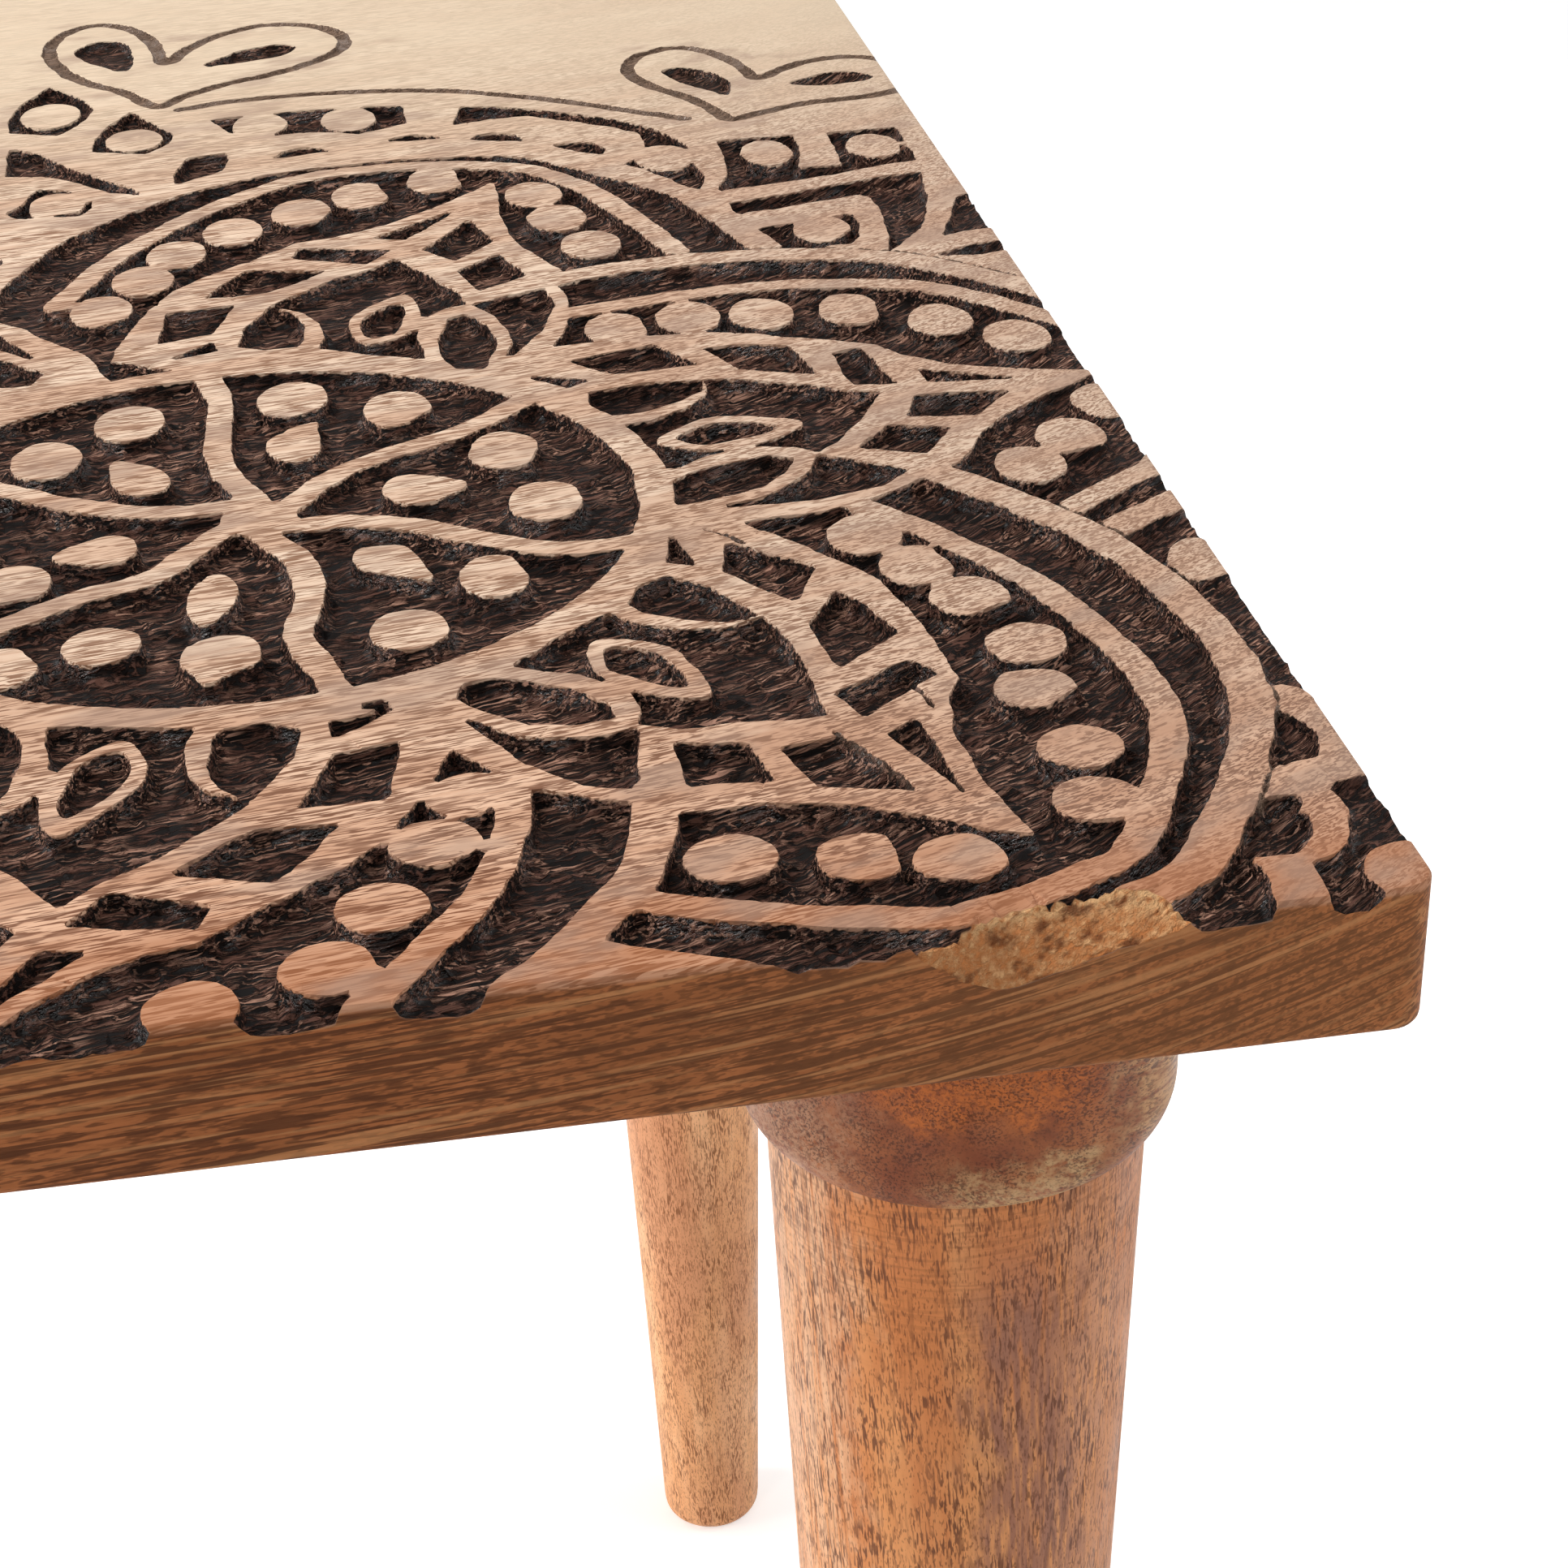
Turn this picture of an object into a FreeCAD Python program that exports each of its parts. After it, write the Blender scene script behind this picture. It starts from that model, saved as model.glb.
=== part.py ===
import FreeCAD, Part
import math
import os

# A square carved-top side table that stands on four turned and tapered legs.
# Each leg carries a round wooden collar, and the collars are screwed under the board.
# +Z is up, the floor is at zero, and the origin is below the middle of the board.
# The front is -Y and the right is +X. All lengths are in millimetres.

# Board of the top
top_width = 508.0
top_depth = 508.0
top_thickness = 23.0
top_corner_radius = 5.0
top_upper_easing = 0.8
top_lower_easing = 1.5

# Places of the leg axes, measured from the sides of the board
leg_inset_side = 52.0
leg_inset_front = 59.0

# Turned leg, tapered straight from its flat top to its rounded foot
leg_length = 442.0
leg_top_diameter = 59.5
leg_foot_diameter = 31.2
leg_foot_rounding = 4.5

# Round collar block between the leg and the board
collar_height = 43.0
collar_diameter = 68.2
collar_rounding_height = 7.0

# Hanger bolt: coarse thread down in the leg, machine thread up in the insert nut
bolt_diameter = 10.0
bolt_wood_length = 42.0
bolt_machine_length = 30.0
bolt_tip_length = 5.0
bolt_tip_diameter = 4.0
bolt_wood_root_diameter = 7.4
bolt_wood_pitch = 3.5
bolt_machine_root_diameter = 8.4
bolt_machine_pitch = 1.5
bolt_plain_length = 4.0

# Threaded insert nut, driven into the underside of the collar
insert_length = 22.0
insert_body_diameter = 14.0
insert_thread_diameter = 16.5
insert_thread_pitch = 3.0
insert_flange_diameter = 20.0
insert_flange_thickness = 1.6
insert_socket_width = 11.0
insert_socket_depth = 4.0

# Pan-head screws that hold each collar to the board
screw_circle_diameter = 44.0
screw_turn_degrees = 45.0
screws_per_collar = 2
screw_pocket_depth = 10.0
screw_pocket_diameter = 9.6
screw_length = 46.0
screw_thread_length = 30.0
screw_tip_length = 3.0
screw_thread_diameter = 4.2
screw_root_diameter = 2.8
screw_shank_diameter = 3.4
screw_thread_pitch = 2.0
screw_head_diameter = 8.0
screw_head_height = 2.8
screw_slot_width = 1.1
screw_slot_length = 4.6
screw_slot_depth = 1.6

# Carving of the board's upper face: a mandala of a rosette and six petals. Its middle
# lies towards the front right corner, so some of its forms run out through the edges.
carving_depth = 2.8
mandala_from_right = 154.4
mandala_from_front = 151.4
mandala_reach = 200.0
rosette_radius = 66.2
hub_radius = 8.4
spoke_width = 5.3
outer_band_width = 6.8
inner_band_width = 5.6
dot_diameter = 12.4

# Outlines as shares of the mandala's reach. A petal's run outward along its axis
# and to the left of it; the other outlines run to the right and to the back. Each
# inner band has one point on the axis, its tip.
corner_outer_shares = (
    (0.35, 0.43), (0.475, 0.4225), (0.6, 0.4), (0.7, 0.355), (0.8, 0.285), (0.885, 0.165),
    (0.9375, 0.0), (0.9, -0.11), (0.86, -0.18), (0.8, -0.25), (0.73, -0.2875),
)
corner_inner_shares = (
    (0.35, 0.335), (0.475, 0.33), (0.6, 0.305), (0.7, 0.2625), (0.8, 0.19), (0.865, 0.085),
    (0.89, 0.0), (0.875, -0.07), (0.85, -0.125), (0.8, -0.165), (0.75, -0.1975), (0.71, -0.22),
)
corner_dot_shares = (
    (0.435, 0.2925), (0.505, 0.275), (0.5725, 0.255), (0.655, 0.2175), (0.705, 0.1625),
    (0.7825, 0.11), (0.835, 0.0575), (0.81, -0.0625), (0.7575, -0.1025), (0.69, -0.1575),
)
right_outer_shares = (
    (0.37, 0.41), (0.45, 0.45), (0.6, 0.4325), (0.7, 0.39), (0.75, 0.3525), (0.8, 0.2775),
    (0.84, 0.2), (0.89, 0.0), (0.85, -0.14), (0.775, -0.25), (0.7, -0.29),
)
right_inner_shares = (
    (0.37, 0.35), (0.5, 0.35), (0.6, 0.34), (0.7, 0.2985), (0.75, 0.257), (0.8, 0.17),
    (0.845, 0.0), (0.825, -0.1), (0.75, -0.2), (0.7, -0.2275),
)
right_dot_shares = (
    (0.7625, 0.1175), (0.7125, 0.185), (0.645, 0.2475), (0.5625, 0.27), (0.495, 0.29),
    (0.4225, 0.29), (0.77, -0.06), (0.7075, -0.12), (0.65, -0.1625),
)
back_outer_shares = (
    (0.36, 0.42), (0.5, 0.435), (0.65, 0.428), (0.775, 0.375), (0.875, 0.3), (0.955, 0.165),
    (0.9875, 0.0), (0.935, -0.1), (0.87, -0.2), (0.81, -0.25), (0.7375, -0.3),
)
back_inner_shares = (
    (0.44, 0.347), (0.6, 0.34), (0.75, 0.3), (0.8425, 0.25), (0.894, 0.2), (0.9325, 0.1),
    (0.935, 0.0), (0.91, -0.05), (0.869, -0.1), (0.805, -0.15), (0.7375, -0.2),
)
back_dot_shares = (
    (0.8825, 0.075), (0.825, 0.1425), (0.765, 0.19), (0.6975, 0.2425), (0.6225, 0.2775),
    (0.545, 0.285), (0.4575, 0.295), (0.845, -0.045), (0.7725, -0.0875), (0.695, -0.1425),
)
front_outer_shares = (
    (0.45, 0.4045), (0.5035, 0.409), (0.563, 0.4045), (0.655, 0.3695), (0.7665, 0.315),
    (0.8565, 0.2445), (0.952, 0.1085), (0.95, 0.0), (0.9, -0.11), (0.8, -0.25), (0.73, -0.2875),
)
front_inner_shares = (
    (0.45, 0.3075), (0.502, 0.312), (0.5945, 0.303), (0.6795, 0.2725), (0.785, 0.2215),
    (0.878, 0.116), (0.89, 0.0), (0.85, -0.125), (0.8, -0.165), (0.75, -0.1975), (0.71, -0.22),
)
front_dot_shares = (
    (0.455, 0.2525), (0.52, 0.2635), (0.602, 0.243), (0.679, 0.2235), (0.725, 0.1475),
    (0.81, -0.0625), (0.7575, -0.1025), (0.69, -0.1575),
)
leaf_left_shares = (
    (0.835, -0.0075), (0.8, 0.0075), (0.75, 0.0375), (0.7, 0.0725), (0.665, 0.1125),
    (0.64, 0.15), (0.6, 0.18), (0.55, 0.21), (0.5, 0.235), (0.43, 0.245), (0.375, 0.25),
)
leaf_right_shares = (
    (0.66, -0.175), (0.63, -0.138), (0.65, -0.105), (0.665, -0.085), (0.7, -0.06),
    (0.75, -0.0375), (0.8, -0.0225), (0.835, -0.0075),
)
leaf_middle_shares = (
    (0.6125, 0.0375), (0.55, 0.085), (0.47, 0.13), (0.435, 0.0725), (0.37, 0.06),
    (0.37, -0.0475), (0.425, -0.0275), (0.475, -0.0275), (0.515, -0.06), (0.575, -0.005),
)
spoke_shares = (
    ((0.015, 0.03), (-0.01, 0.1), (-0.0175, 0.155), (-0.015, 0.265), (-0.03, 0.35)),
    ((0.03, 0.005), (0.08, 0.07), (0.17, 0.13), (0.21, 0.1575), (0.28, 0.235)),
    ((0.025, -0.015), (0.09, -0.025), (0.14, -0.0425), (0.23, -0.105), (0.35, -0.115)),
    ((0.02, -0.025), (0.0475, -0.0925), (0.055, -0.14), (0.045, -0.23), (0.08, -0.35)),
    ((0.01, -0.005), (-0.04, -0.06), (-0.07, -0.1025), (-0.16, -0.1475), (-0.265, -0.265)),
    ((0.015, 0.015), (-0.0925, 0.035), (-0.1925, 0.1), (-0.24, 0.13), (-0.315, 0.165)),
)
border_cell_shares = (
    ((-0.025, 1.145), (0.1, 1.155), (0.1965, 1.145), (0.195, 1.075), (0.14, 1.0475), (0.015, 1.07)),
    (
        (0.2625, 1.125), (0.35, 1.09), (0.444, 1.019), (0.475, 0.98), (0.5, 0.91), (0.5, 0.84),
        (0.4875, 0.75), (0.469, 0.8), (0.43, 0.86), (0.4575, 0.94), (0.43, 1.0), (0.3625, 1.05),
        (0.25, 1.055),
    ),
)
corner_cell_shares = (
    (
        (0.69, -0.225), (0.72, -0.28), (0.738, -0.3525), (0.738, -0.46), (0.85, -0.46),
        (0.85, -0.1), (0.745, -0.175), (0.705, -0.205),
    ),
    (
        (0.85, -0.6075), (0.745, -0.6165), (0.7455, -0.6525), (0.7275, -0.697), (0.7, -0.7125),
        (0.697, -0.85), (0.73, -0.85), (0.735, -0.77), (0.728, -0.72), (0.74, -0.7), (0.85, -0.7),
    ),
    ((0.58, -0.85), (0.59, -0.75), (0.62, -0.7225), (0.655, -0.692), (0.663, -0.7315), (0.66, -0.85)),
)

# Each petal's axis in degrees from +X, how much longer and wider its leaf and then its
# bands are than those of the petal nearest the corner, and the outlines of its bands
# and dots. The petals that lie farthest from the corner repeat that one.
petals = (
    (-50, 1.0, 1.0, 1.0, 1.0, corner_outer_shares, corner_inner_shares, corner_dot_shares),
    (11, 0.955, 1.03, 1.0, 1.0, right_outer_shares, right_inner_shares, right_dot_shares),
    (71, 1.05, 1.0, 1.0, 1.0, back_outer_shares, back_inner_shares, back_dot_shares),
    (132, 1.05, 1.04, 1.05, 1.04, corner_outer_shares, corner_inner_shares, corner_dot_shares),
    (194, 1.0, 1.08, 1.0, 1.08, corner_outer_shares, corner_inner_shares, corner_dot_shares),
    (-104, 1.0, 1.0, 1.0, 1.0, front_outer_shares, front_inner_shares, front_dot_shares),
)

# Turns about the mandala's middle at which the border cells are cut, in degrees
border_turns = (0, 61, 122)

# Clearances: around each thread, and beyond the end of each blind hole
thread_clearance = 0.2
hole_end_clearance = 1.5

# Every cut that leaves through a face runs on past it by this much
cut_overrun = 1.0

# Shares of one pitch that are flat at the root and at the crest of a thread
root_flat_share = 0.3
crest_flat_share = 0.12

# Share of its height that the rim of a screw's head is rounded by
screw_head_rounding_share = 0.35

# Share of its width and height that the handles of a quarter round reach along
quarter_handle_share = 0.5523

# Heights that follow from the sizes above
joint_height = leg_length
board_underside = joint_height + collar_height
board_face = board_underside + top_thickness

up = FreeCAD.Vector(0, 0, 1)

# Corner names with the side, right or left, and the end, front or back, that they stand at
corners = {
    "front_right": (1, -1),
    "front_left": (-1, -1),
    "back_right": (1, 1),
    "back_left": (-1, 1),
}


def corner_place(side, end):
    """Give the point of a leg's axis at the height of the floor."""
    x = side * (top_width / 2 - leg_inset_side)
    y = end * (top_depth / 2 - leg_inset_front)
    return FreeCAD.Vector(x, y, 0)


def raised(place, height):
    """Give a place moved up by a height."""
    return place + up * height


def turned(profile):
    """Turn a closed list of (radius, height) points about the vertical axis."""
    points = [FreeCAD.Vector(radius, 0, height) for radius, height in profile]
    wire = Part.makePolygon(points + points[:1])
    return Part.Face(wire).revolve(FreeCAD.Vector(), up, 360)


def thread_profile(start, end, root_radius, crest_radius, pitch):
    """List the (radius, height) points of whole thread ridges between two heights."""
    points = []
    flank_start = pitch * root_flat_share / 2
    crest_half = pitch * crest_flat_share / 2
    for turn in range(int((end - start) / pitch)):
        low = start + turn * pitch
        middle = low + pitch / 2
        points.append((root_radius, low + flank_start))
        points.append((crest_radius, middle - crest_half))
        points.append((crest_radius, middle + crest_half))
        points.append((root_radius, low + pitch - flank_start))
    return points


def screw_places(place):
    """Give the axes of a collar's screws, spread evenly round the leg's axis."""
    radius = screw_circle_diameter / 2
    places = []
    for number in range(screws_per_collar):
        angle = math.radians(screw_turn_degrees + number * 360 / screws_per_collar)
        places.append(place + FreeCAD.Vector(radius * math.cos(angle), radius * math.sin(angle), 0))
    return places


def loop_edges(solid, height):
    """Pick the edges of a solid that lie flat at one height."""
    reach = thread_clearance
    edges = solid.Edges
    return [e for e in edges if max(abs(e.BoundBox.ZMin - height), abs(e.BoundBox.ZMax - height)) < reach]


def upright_edges(solid, least_rise):
    """Pick the edges of a solid that rise by more than the given length."""
    return [e for e in solid.Edges if e.BoundBox.ZLength > least_rise]


def on_board(shares, axis, longer=1.0, wider=1.0):
    """Place an outline, given in shares of the mandala's reach, on the carving's ground."""
    angle = math.radians(axis)
    middle_x = top_width / 2 - mandala_from_right
    middle_y = mandala_from_front - top_depth / 2
    points = []
    for outward, left in shares:
        u = outward * longer * mandala_reach
        v = left * wider * mandala_reach
        x = middle_x + u * math.cos(angle) - v * math.sin(angle)
        y = middle_y + u * math.sin(angle) + v * math.cos(angle)
        points.append(FreeCAD.Vector(x, y, board_face - carving_depth))
    return points


def beside(points, distance):
    """Move a line of points sideways, to its left for a distance above zero."""
    moved = []
    for number, point in enumerate(points):
        before = points[max(number - 1, 0)]
        after = points[min(number + 1, len(points) - 1)]
        along = (after - before).normalize()
        moved.append(point + FreeCAD.Vector(-along.y, along.x, 0) * distance)
    return moved


def smooth_edge(points):
    """Curve that passes through all the points."""
    curve = Part.BSplineCurve()
    curve.interpolate(points)
    return curve.toShape()


def face_between(one_side, other_side):
    """Level face between two curves that run the same way."""
    far_end = Part.makeLine(one_side[-1], other_side[-1])
    near_end = Part.makeLine(other_side[0], one_side[0])
    return Part.Face(Part.Wire([smooth_edge(one_side), far_end, smooth_edge(other_side), near_end]))


def round_face(middle, radius):
    """Level round face about a place."""
    return Part.Face(Part.Wire(Part.makeCircle(radius, middle)))


def cut_out(face):
    """Solid that cuts from its level face up through the board's own."""
    return face.extrude(up * (carving_depth + cut_overrun))


def straight_cell(points):
    """Solid that cuts one cell with straight sides."""
    return cut_out(Part.Face(Part.makePolygon(points + points[:1])))


def left_standing(face):
    """Solid of the wood over a level face that a cut leaves standing."""
    face.translate(up * -cut_overrun)
    return face.extrude(up * (carving_depth + 3 * cut_overrun))


def petal_cutters(axis, longer, wider, band_longer, band_wider, outer_shares, inner_shares, dot_shares):
    """Solids that cut a petal: its channel, the hollows beside its leaf, and the leaf's middle."""
    outer = on_board(outer_shares, axis, band_longer, band_wider)
    inner = on_board(inner_shares, axis, band_longer, band_wider)
    leaf_left = on_board(leaf_left_shares, axis, longer, wider)
    leaf_right = on_board(leaf_right_shares, axis, longer, wider)
    channel = cut_out(face_between(beside(outer, -outer_band_width / 2), beside(inner, inner_band_width / 2)))
    inner_edge = beside(inner, -inner_band_width / 2)
    tip = [left for _, left in inner_shares].index(0)
    left = cut_out(face_between(inner_edge[: tip + 1], leaf_left[::-1]))
    right = cut_out(face_between(inner_edge[tip:], leaf_right[::-1]))
    dot_places = on_board(dot_shares, axis, band_longer, band_wider)
    dots = [left_standing(round_face(place, dot_diameter / 2)) for place in dot_places]
    middle = straight_cell(on_board(leaf_middle_shares, axis, longer, wider))
    return [channel, left.cut(dots), right.cut(dots), middle]


def rosette_cutter():
    """Solid that cuts the round middle of the mandala and leaves its hub and curved spokes."""
    middle = on_board(((0, 0),), 0)[0]
    disc = cut_out(round_face(middle, rosette_radius))
    disc = disc.cut(left_standing(round_face(middle, hub_radius)))
    for shares in spoke_shares:
        line = on_board(shares, 0)
        spoke = face_between(beside(line, spoke_width / 2), beside(line, -spoke_width / 2))
        disc = disc.cut(left_standing(spoke))
    return disc


def carving_cutters():
    """List the solids that cut the main forms of the carving."""
    cutters = [rosette_cutter()]
    for petal in petals:
        cutters += petal_cutters(*petal)
    for turn in border_turns:
        cutters += [straight_cell(on_board(shares, turn)) for shares in border_cell_shares]
    cutters += [straight_cell(on_board(shares, 0)) for shares in corner_cell_shares]
    return cutters


def make_top():
    """Board with rounded corners, eased edges, blind screw holes and the carving."""
    start = FreeCAD.Vector(-top_width / 2, -top_depth / 2, board_underside)
    board = Part.makeBox(top_width, top_depth, top_thickness, start)
    board = board.makeFillet(top_corner_radius, upright_edges(board, top_thickness / 2))
    board = board.makeFillet(top_upper_easing, loop_edges(board, board_face))
    board = board.makeFillet(top_lower_easing, loop_edges(board, board_underside))
    hole_radius = screw_thread_diameter / 2 + thread_clearance
    depth_in_board = screw_pocket_depth + screw_length - collar_height
    hole_length = depth_in_board + hole_end_clearance + cut_overrun
    for side, end in corners.values():
        foot = raised(corner_place(side, end), board_underside - cut_overrun)
        for place in screw_places(foot):
            board = board.cut(Part.makeCylinder(hole_radius, hole_length, place, up))
    for cutter in carving_cutters():
        board = board.cut(cutter)
    return board


def make_leg(place):
    """Tapered leg with a rounded foot and the hanger bolt's bore in its top."""
    leg = Part.makeCone(leg_foot_diameter / 2, leg_top_diameter / 2, leg_length, place, up)
    leg = leg.makeFillet(leg_foot_rounding, loop_edges(leg, 0))
    bore_radius = bolt_diameter / 2 + thread_clearance
    bore_length = bolt_wood_length + hole_end_clearance + cut_overrun
    bore_start = raised(place, joint_height - bolt_wood_length - hole_end_clearance)
    return leg.cut(Part.makeCylinder(bore_radius, bore_length, bore_start, up))


def collar_blank():
    """Turned block whose lower rim is a quarter round that runs in to the leg."""
    outer = collar_diameter / 2
    inner = leg_top_diameter / 2
    foot = FreeCAD.Vector(inner, 0, 0)
    foot_handle = FreeCAD.Vector(inner + (outer - inner) * quarter_handle_share, 0, 0)
    rim_handle = FreeCAD.Vector(outer, 0, collar_rounding_height * (1 - quarter_handle_share))
    rim = FreeCAD.Vector(outer, 0, collar_rounding_height)
    quarter_round = Part.BezierCurve()
    quarter_round.setPoles([foot, foot_handle, rim_handle, rim])
    axis_low = FreeCAD.Vector()
    axis_high = FreeCAD.Vector(0, 0, collar_height)
    rim_high = FreeCAD.Vector(outer, 0, collar_height)
    edges = [
        Part.LineSegment(axis_low, foot).toShape(),
        quarter_round.toShape(),
        Part.LineSegment(rim, rim_high).toShape(),
        Part.LineSegment(rim_high, axis_high).toShape(),
        Part.LineSegment(axis_high, axis_low).toShape(),
    ]
    return Part.Face(Part.Wire(edges)).revolve(FreeCAD.Vector(), up, 360)


def make_collar(place):
    """Collar with the insert's stepped bore and a pocket and hole for each screw."""
    joint = raised(place, joint_height)
    below = raised(joint, -cut_overrun)
    collar = collar_blank()
    collar.translate(joint)
    flange_radius = insert_flange_diameter / 2 + thread_clearance
    collar = collar.cut(Part.makeCylinder(flange_radius, insert_flange_thickness + cut_overrun, below, up))
    insert_radius = insert_thread_diameter / 2 + thread_clearance
    insert_depth = insert_length + hole_end_clearance
    collar = collar.cut(Part.makeCylinder(insert_radius, insert_depth + cut_overrun, below, up))
    bolt_radius = bolt_diameter / 2 + thread_clearance
    bolt_depth = bolt_machine_length + hole_end_clearance
    collar = collar.cut(Part.makeCylinder(bolt_radius, bolt_depth + cut_overrun, below, up))
    hole_radius = screw_thread_diameter / 2 + thread_clearance
    for screw in screw_places(below):
        pocket = Part.makeCylinder(screw_pocket_diameter / 2, screw_pocket_depth + cut_overrun, screw, up)
        hole = Part.makeCylinder(hole_radius, collar_height + 2 * cut_overrun, screw, up)
        collar = collar.cut(pocket).cut(hole)
    return collar


def make_bolt(place):
    """Hanger bolt that stands across the joint between leg and collar."""
    wood_root = bolt_wood_root_diameter / 2
    machine_root = bolt_machine_root_diameter / 2
    crest = bolt_diameter / 2
    plain_half = bolt_plain_length / 2
    low = -bolt_wood_length
    high = bolt_machine_length
    profile = [(0, low), (bolt_tip_diameter / 2, low), (wood_root, low + bolt_tip_length)]
    profile += thread_profile(low + bolt_tip_length, -plain_half, wood_root, crest, bolt_wood_pitch)
    profile += [(wood_root, -plain_half), (crest, -plain_half)]
    profile += [(crest, plain_half), (machine_root, plain_half)]
    profile += thread_profile(plain_half, high, machine_root, crest, bolt_machine_pitch)
    profile += [(machine_root, high), (0, high)]
    bolt = turned(profile)
    bolt.translate(raised(place, joint_height))
    return bolt


def hexagon_prism(width, height):
    """Upright six-sided prism, sized across its flats."""
    radius = width / 2 / math.cos(math.radians(30))
    points = []
    for number in range(7):
        angle = math.radians(60 * number)
        points.append(FreeCAD.Vector(radius * math.cos(angle), radius * math.sin(angle), 0))
    return Part.Face(Part.makePolygon(points)).extrude(up * height)


def make_insert(place):
    """Threaded sleeve with a flange below and a hexagon socket in its mouth."""
    body = insert_body_diameter / 2
    flange = insert_flange_diameter / 2
    bore = bolt_diameter / 2 + thread_clearance
    profile = [(bore, 0), (flange, 0), (flange, insert_flange_thickness), (body, insert_flange_thickness)]
    crest = insert_thread_diameter / 2
    profile += thread_profile(insert_flange_thickness, insert_length, body, crest, insert_thread_pitch)
    profile += [(body, insert_length), (bore, insert_length)]
    sleeve = turned(profile)
    socket = hexagon_prism(insert_socket_width, insert_socket_depth + cut_overrun)
    socket.translate(up * -cut_overrun)
    sleeve = sleeve.cut(socket)
    sleeve.translate(raised(place, joint_height))
    return sleeve


def make_screw():
    """Pan-head screw with a cross recess, its head's seat at height zero."""
    root = screw_root_diameter / 2
    shank = screw_shank_diameter / 2
    head = screw_head_diameter / 2
    thread_start = screw_length - screw_thread_length
    thread_end = screw_length - screw_tip_length
    profile = [(0, -screw_head_height), (head, -screw_head_height), (head, 0), (shank, 0)]
    profile += [(shank, thread_start), (root, thread_start)]
    profile += thread_profile(thread_start, thread_end, root, screw_thread_diameter / 2, screw_thread_pitch)
    profile += [(root, thread_end), (0, screw_length)]
    screw = turned(profile)
    rim = [e for e in loop_edges(screw, -screw_head_height) if e.BoundBox.XLength > head]
    screw = screw.makeFillet(screw_head_height * screw_head_rounding_share, rim)
    slot_height = screw_slot_depth + cut_overrun
    for long_x, long_y in ((screw_slot_length, screw_slot_width), (screw_slot_width, screw_slot_length)):
        start = FreeCAD.Vector(-long_x / 2, -long_y / 2, -screw_head_height - cut_overrun)
        screw = screw.cut(Part.makeBox(long_x, long_y, slot_height, start))
    return screw


def make_collar_screws(place):
    """The screws of one collar as separate solids, driven up into the board."""
    seat = raised(place, joint_height + screw_pocket_depth)
    screws = []
    for screw_place in screw_places(seat):
        screw = make_screw()
        screw.translate(screw_place)
        screws.append(screw)
    return Part.makeCompound(screws)


def save(name, shape):
    """Write one node and print its size for reading."""
    shape.exportStep("parts/" + name + ".step")
    box = shape.BoundBox
    print(name, len(shape.Solids), shape.isValid(), round(box.ZMin, 2), round(box.ZMax, 2))


def main():
    """Build every piece of the table and write each to its own file."""
    os.makedirs("parts", exist_ok=True)
    save("carved_top", make_top())
    for corner, (side, end) in corners.items():
        place = corner_place(side, end)
        save("leg_" + corner, make_leg(place))
        save("collar_" + corner, make_collar(place))
        save("hanger_bolt_" + corner, make_bolt(place))
        save("insert_nut_" + corner, make_insert(place))
        save("collar_screws_" + corner, make_collar_screws(place))


main()
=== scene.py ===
"""Carved side table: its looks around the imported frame.

The carving is laid out in millimetres from the middle of its mandala, with x to the table's right and y
towards its back. Meshes are in metres, in the row's frame.
"""
from __future__ import annotations

import logging
import math
from dataclasses import dataclass, field
from enum import Enum

import bpy
import numpy as np
from mathutils import Matrix, Vector
from mathutils.geometry import delaunay_2d_cdt

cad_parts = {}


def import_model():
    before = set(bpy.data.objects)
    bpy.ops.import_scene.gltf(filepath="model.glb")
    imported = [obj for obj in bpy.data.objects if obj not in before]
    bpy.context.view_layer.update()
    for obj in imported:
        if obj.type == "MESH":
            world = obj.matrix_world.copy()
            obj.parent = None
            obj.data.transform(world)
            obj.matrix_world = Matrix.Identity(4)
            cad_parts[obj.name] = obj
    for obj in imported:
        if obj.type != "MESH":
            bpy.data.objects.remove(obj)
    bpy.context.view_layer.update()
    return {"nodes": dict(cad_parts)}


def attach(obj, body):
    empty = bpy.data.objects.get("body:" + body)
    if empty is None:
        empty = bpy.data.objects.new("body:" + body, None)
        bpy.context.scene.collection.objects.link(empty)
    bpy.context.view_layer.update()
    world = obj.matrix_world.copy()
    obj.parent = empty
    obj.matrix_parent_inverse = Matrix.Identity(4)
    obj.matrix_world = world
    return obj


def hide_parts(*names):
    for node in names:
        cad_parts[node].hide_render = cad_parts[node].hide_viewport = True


LOG = logging.getLogger("carved_table")
MM = 0.001
# distance from the board's face down to the carved ground, and half the width of a petal's dot, in
# millimetres
GROUND_DEPTH = 2.8
DOT_HALF_WIDTH = 6.4
Points = tuple[tuple[float, float], ...]
# middle along x and y, half width and half height of each dot
Dots = tuple[tuple[float, float, float, float], ...]
Look = bpy.types.NodeSocket


def linear(colour: str) -> tuple[float, float, float, float]:
    """Turns an sRGB hex colour into linear RGBA.

    Args:
        colour: six hex digits after a hash sign.

    Returns:
        Red, green, blue and an alpha of 1.
    """
    parts = (int(colour[place:place + 2], 16) / 255 for place in (1, 3, 5))
    red, green, blue = (part / 12.92 if part <= 0.04045 else ((part + 0.055) / 1.055) ** 2.4
                        for part in parts)
    return red, green, blue, 1.0


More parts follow.
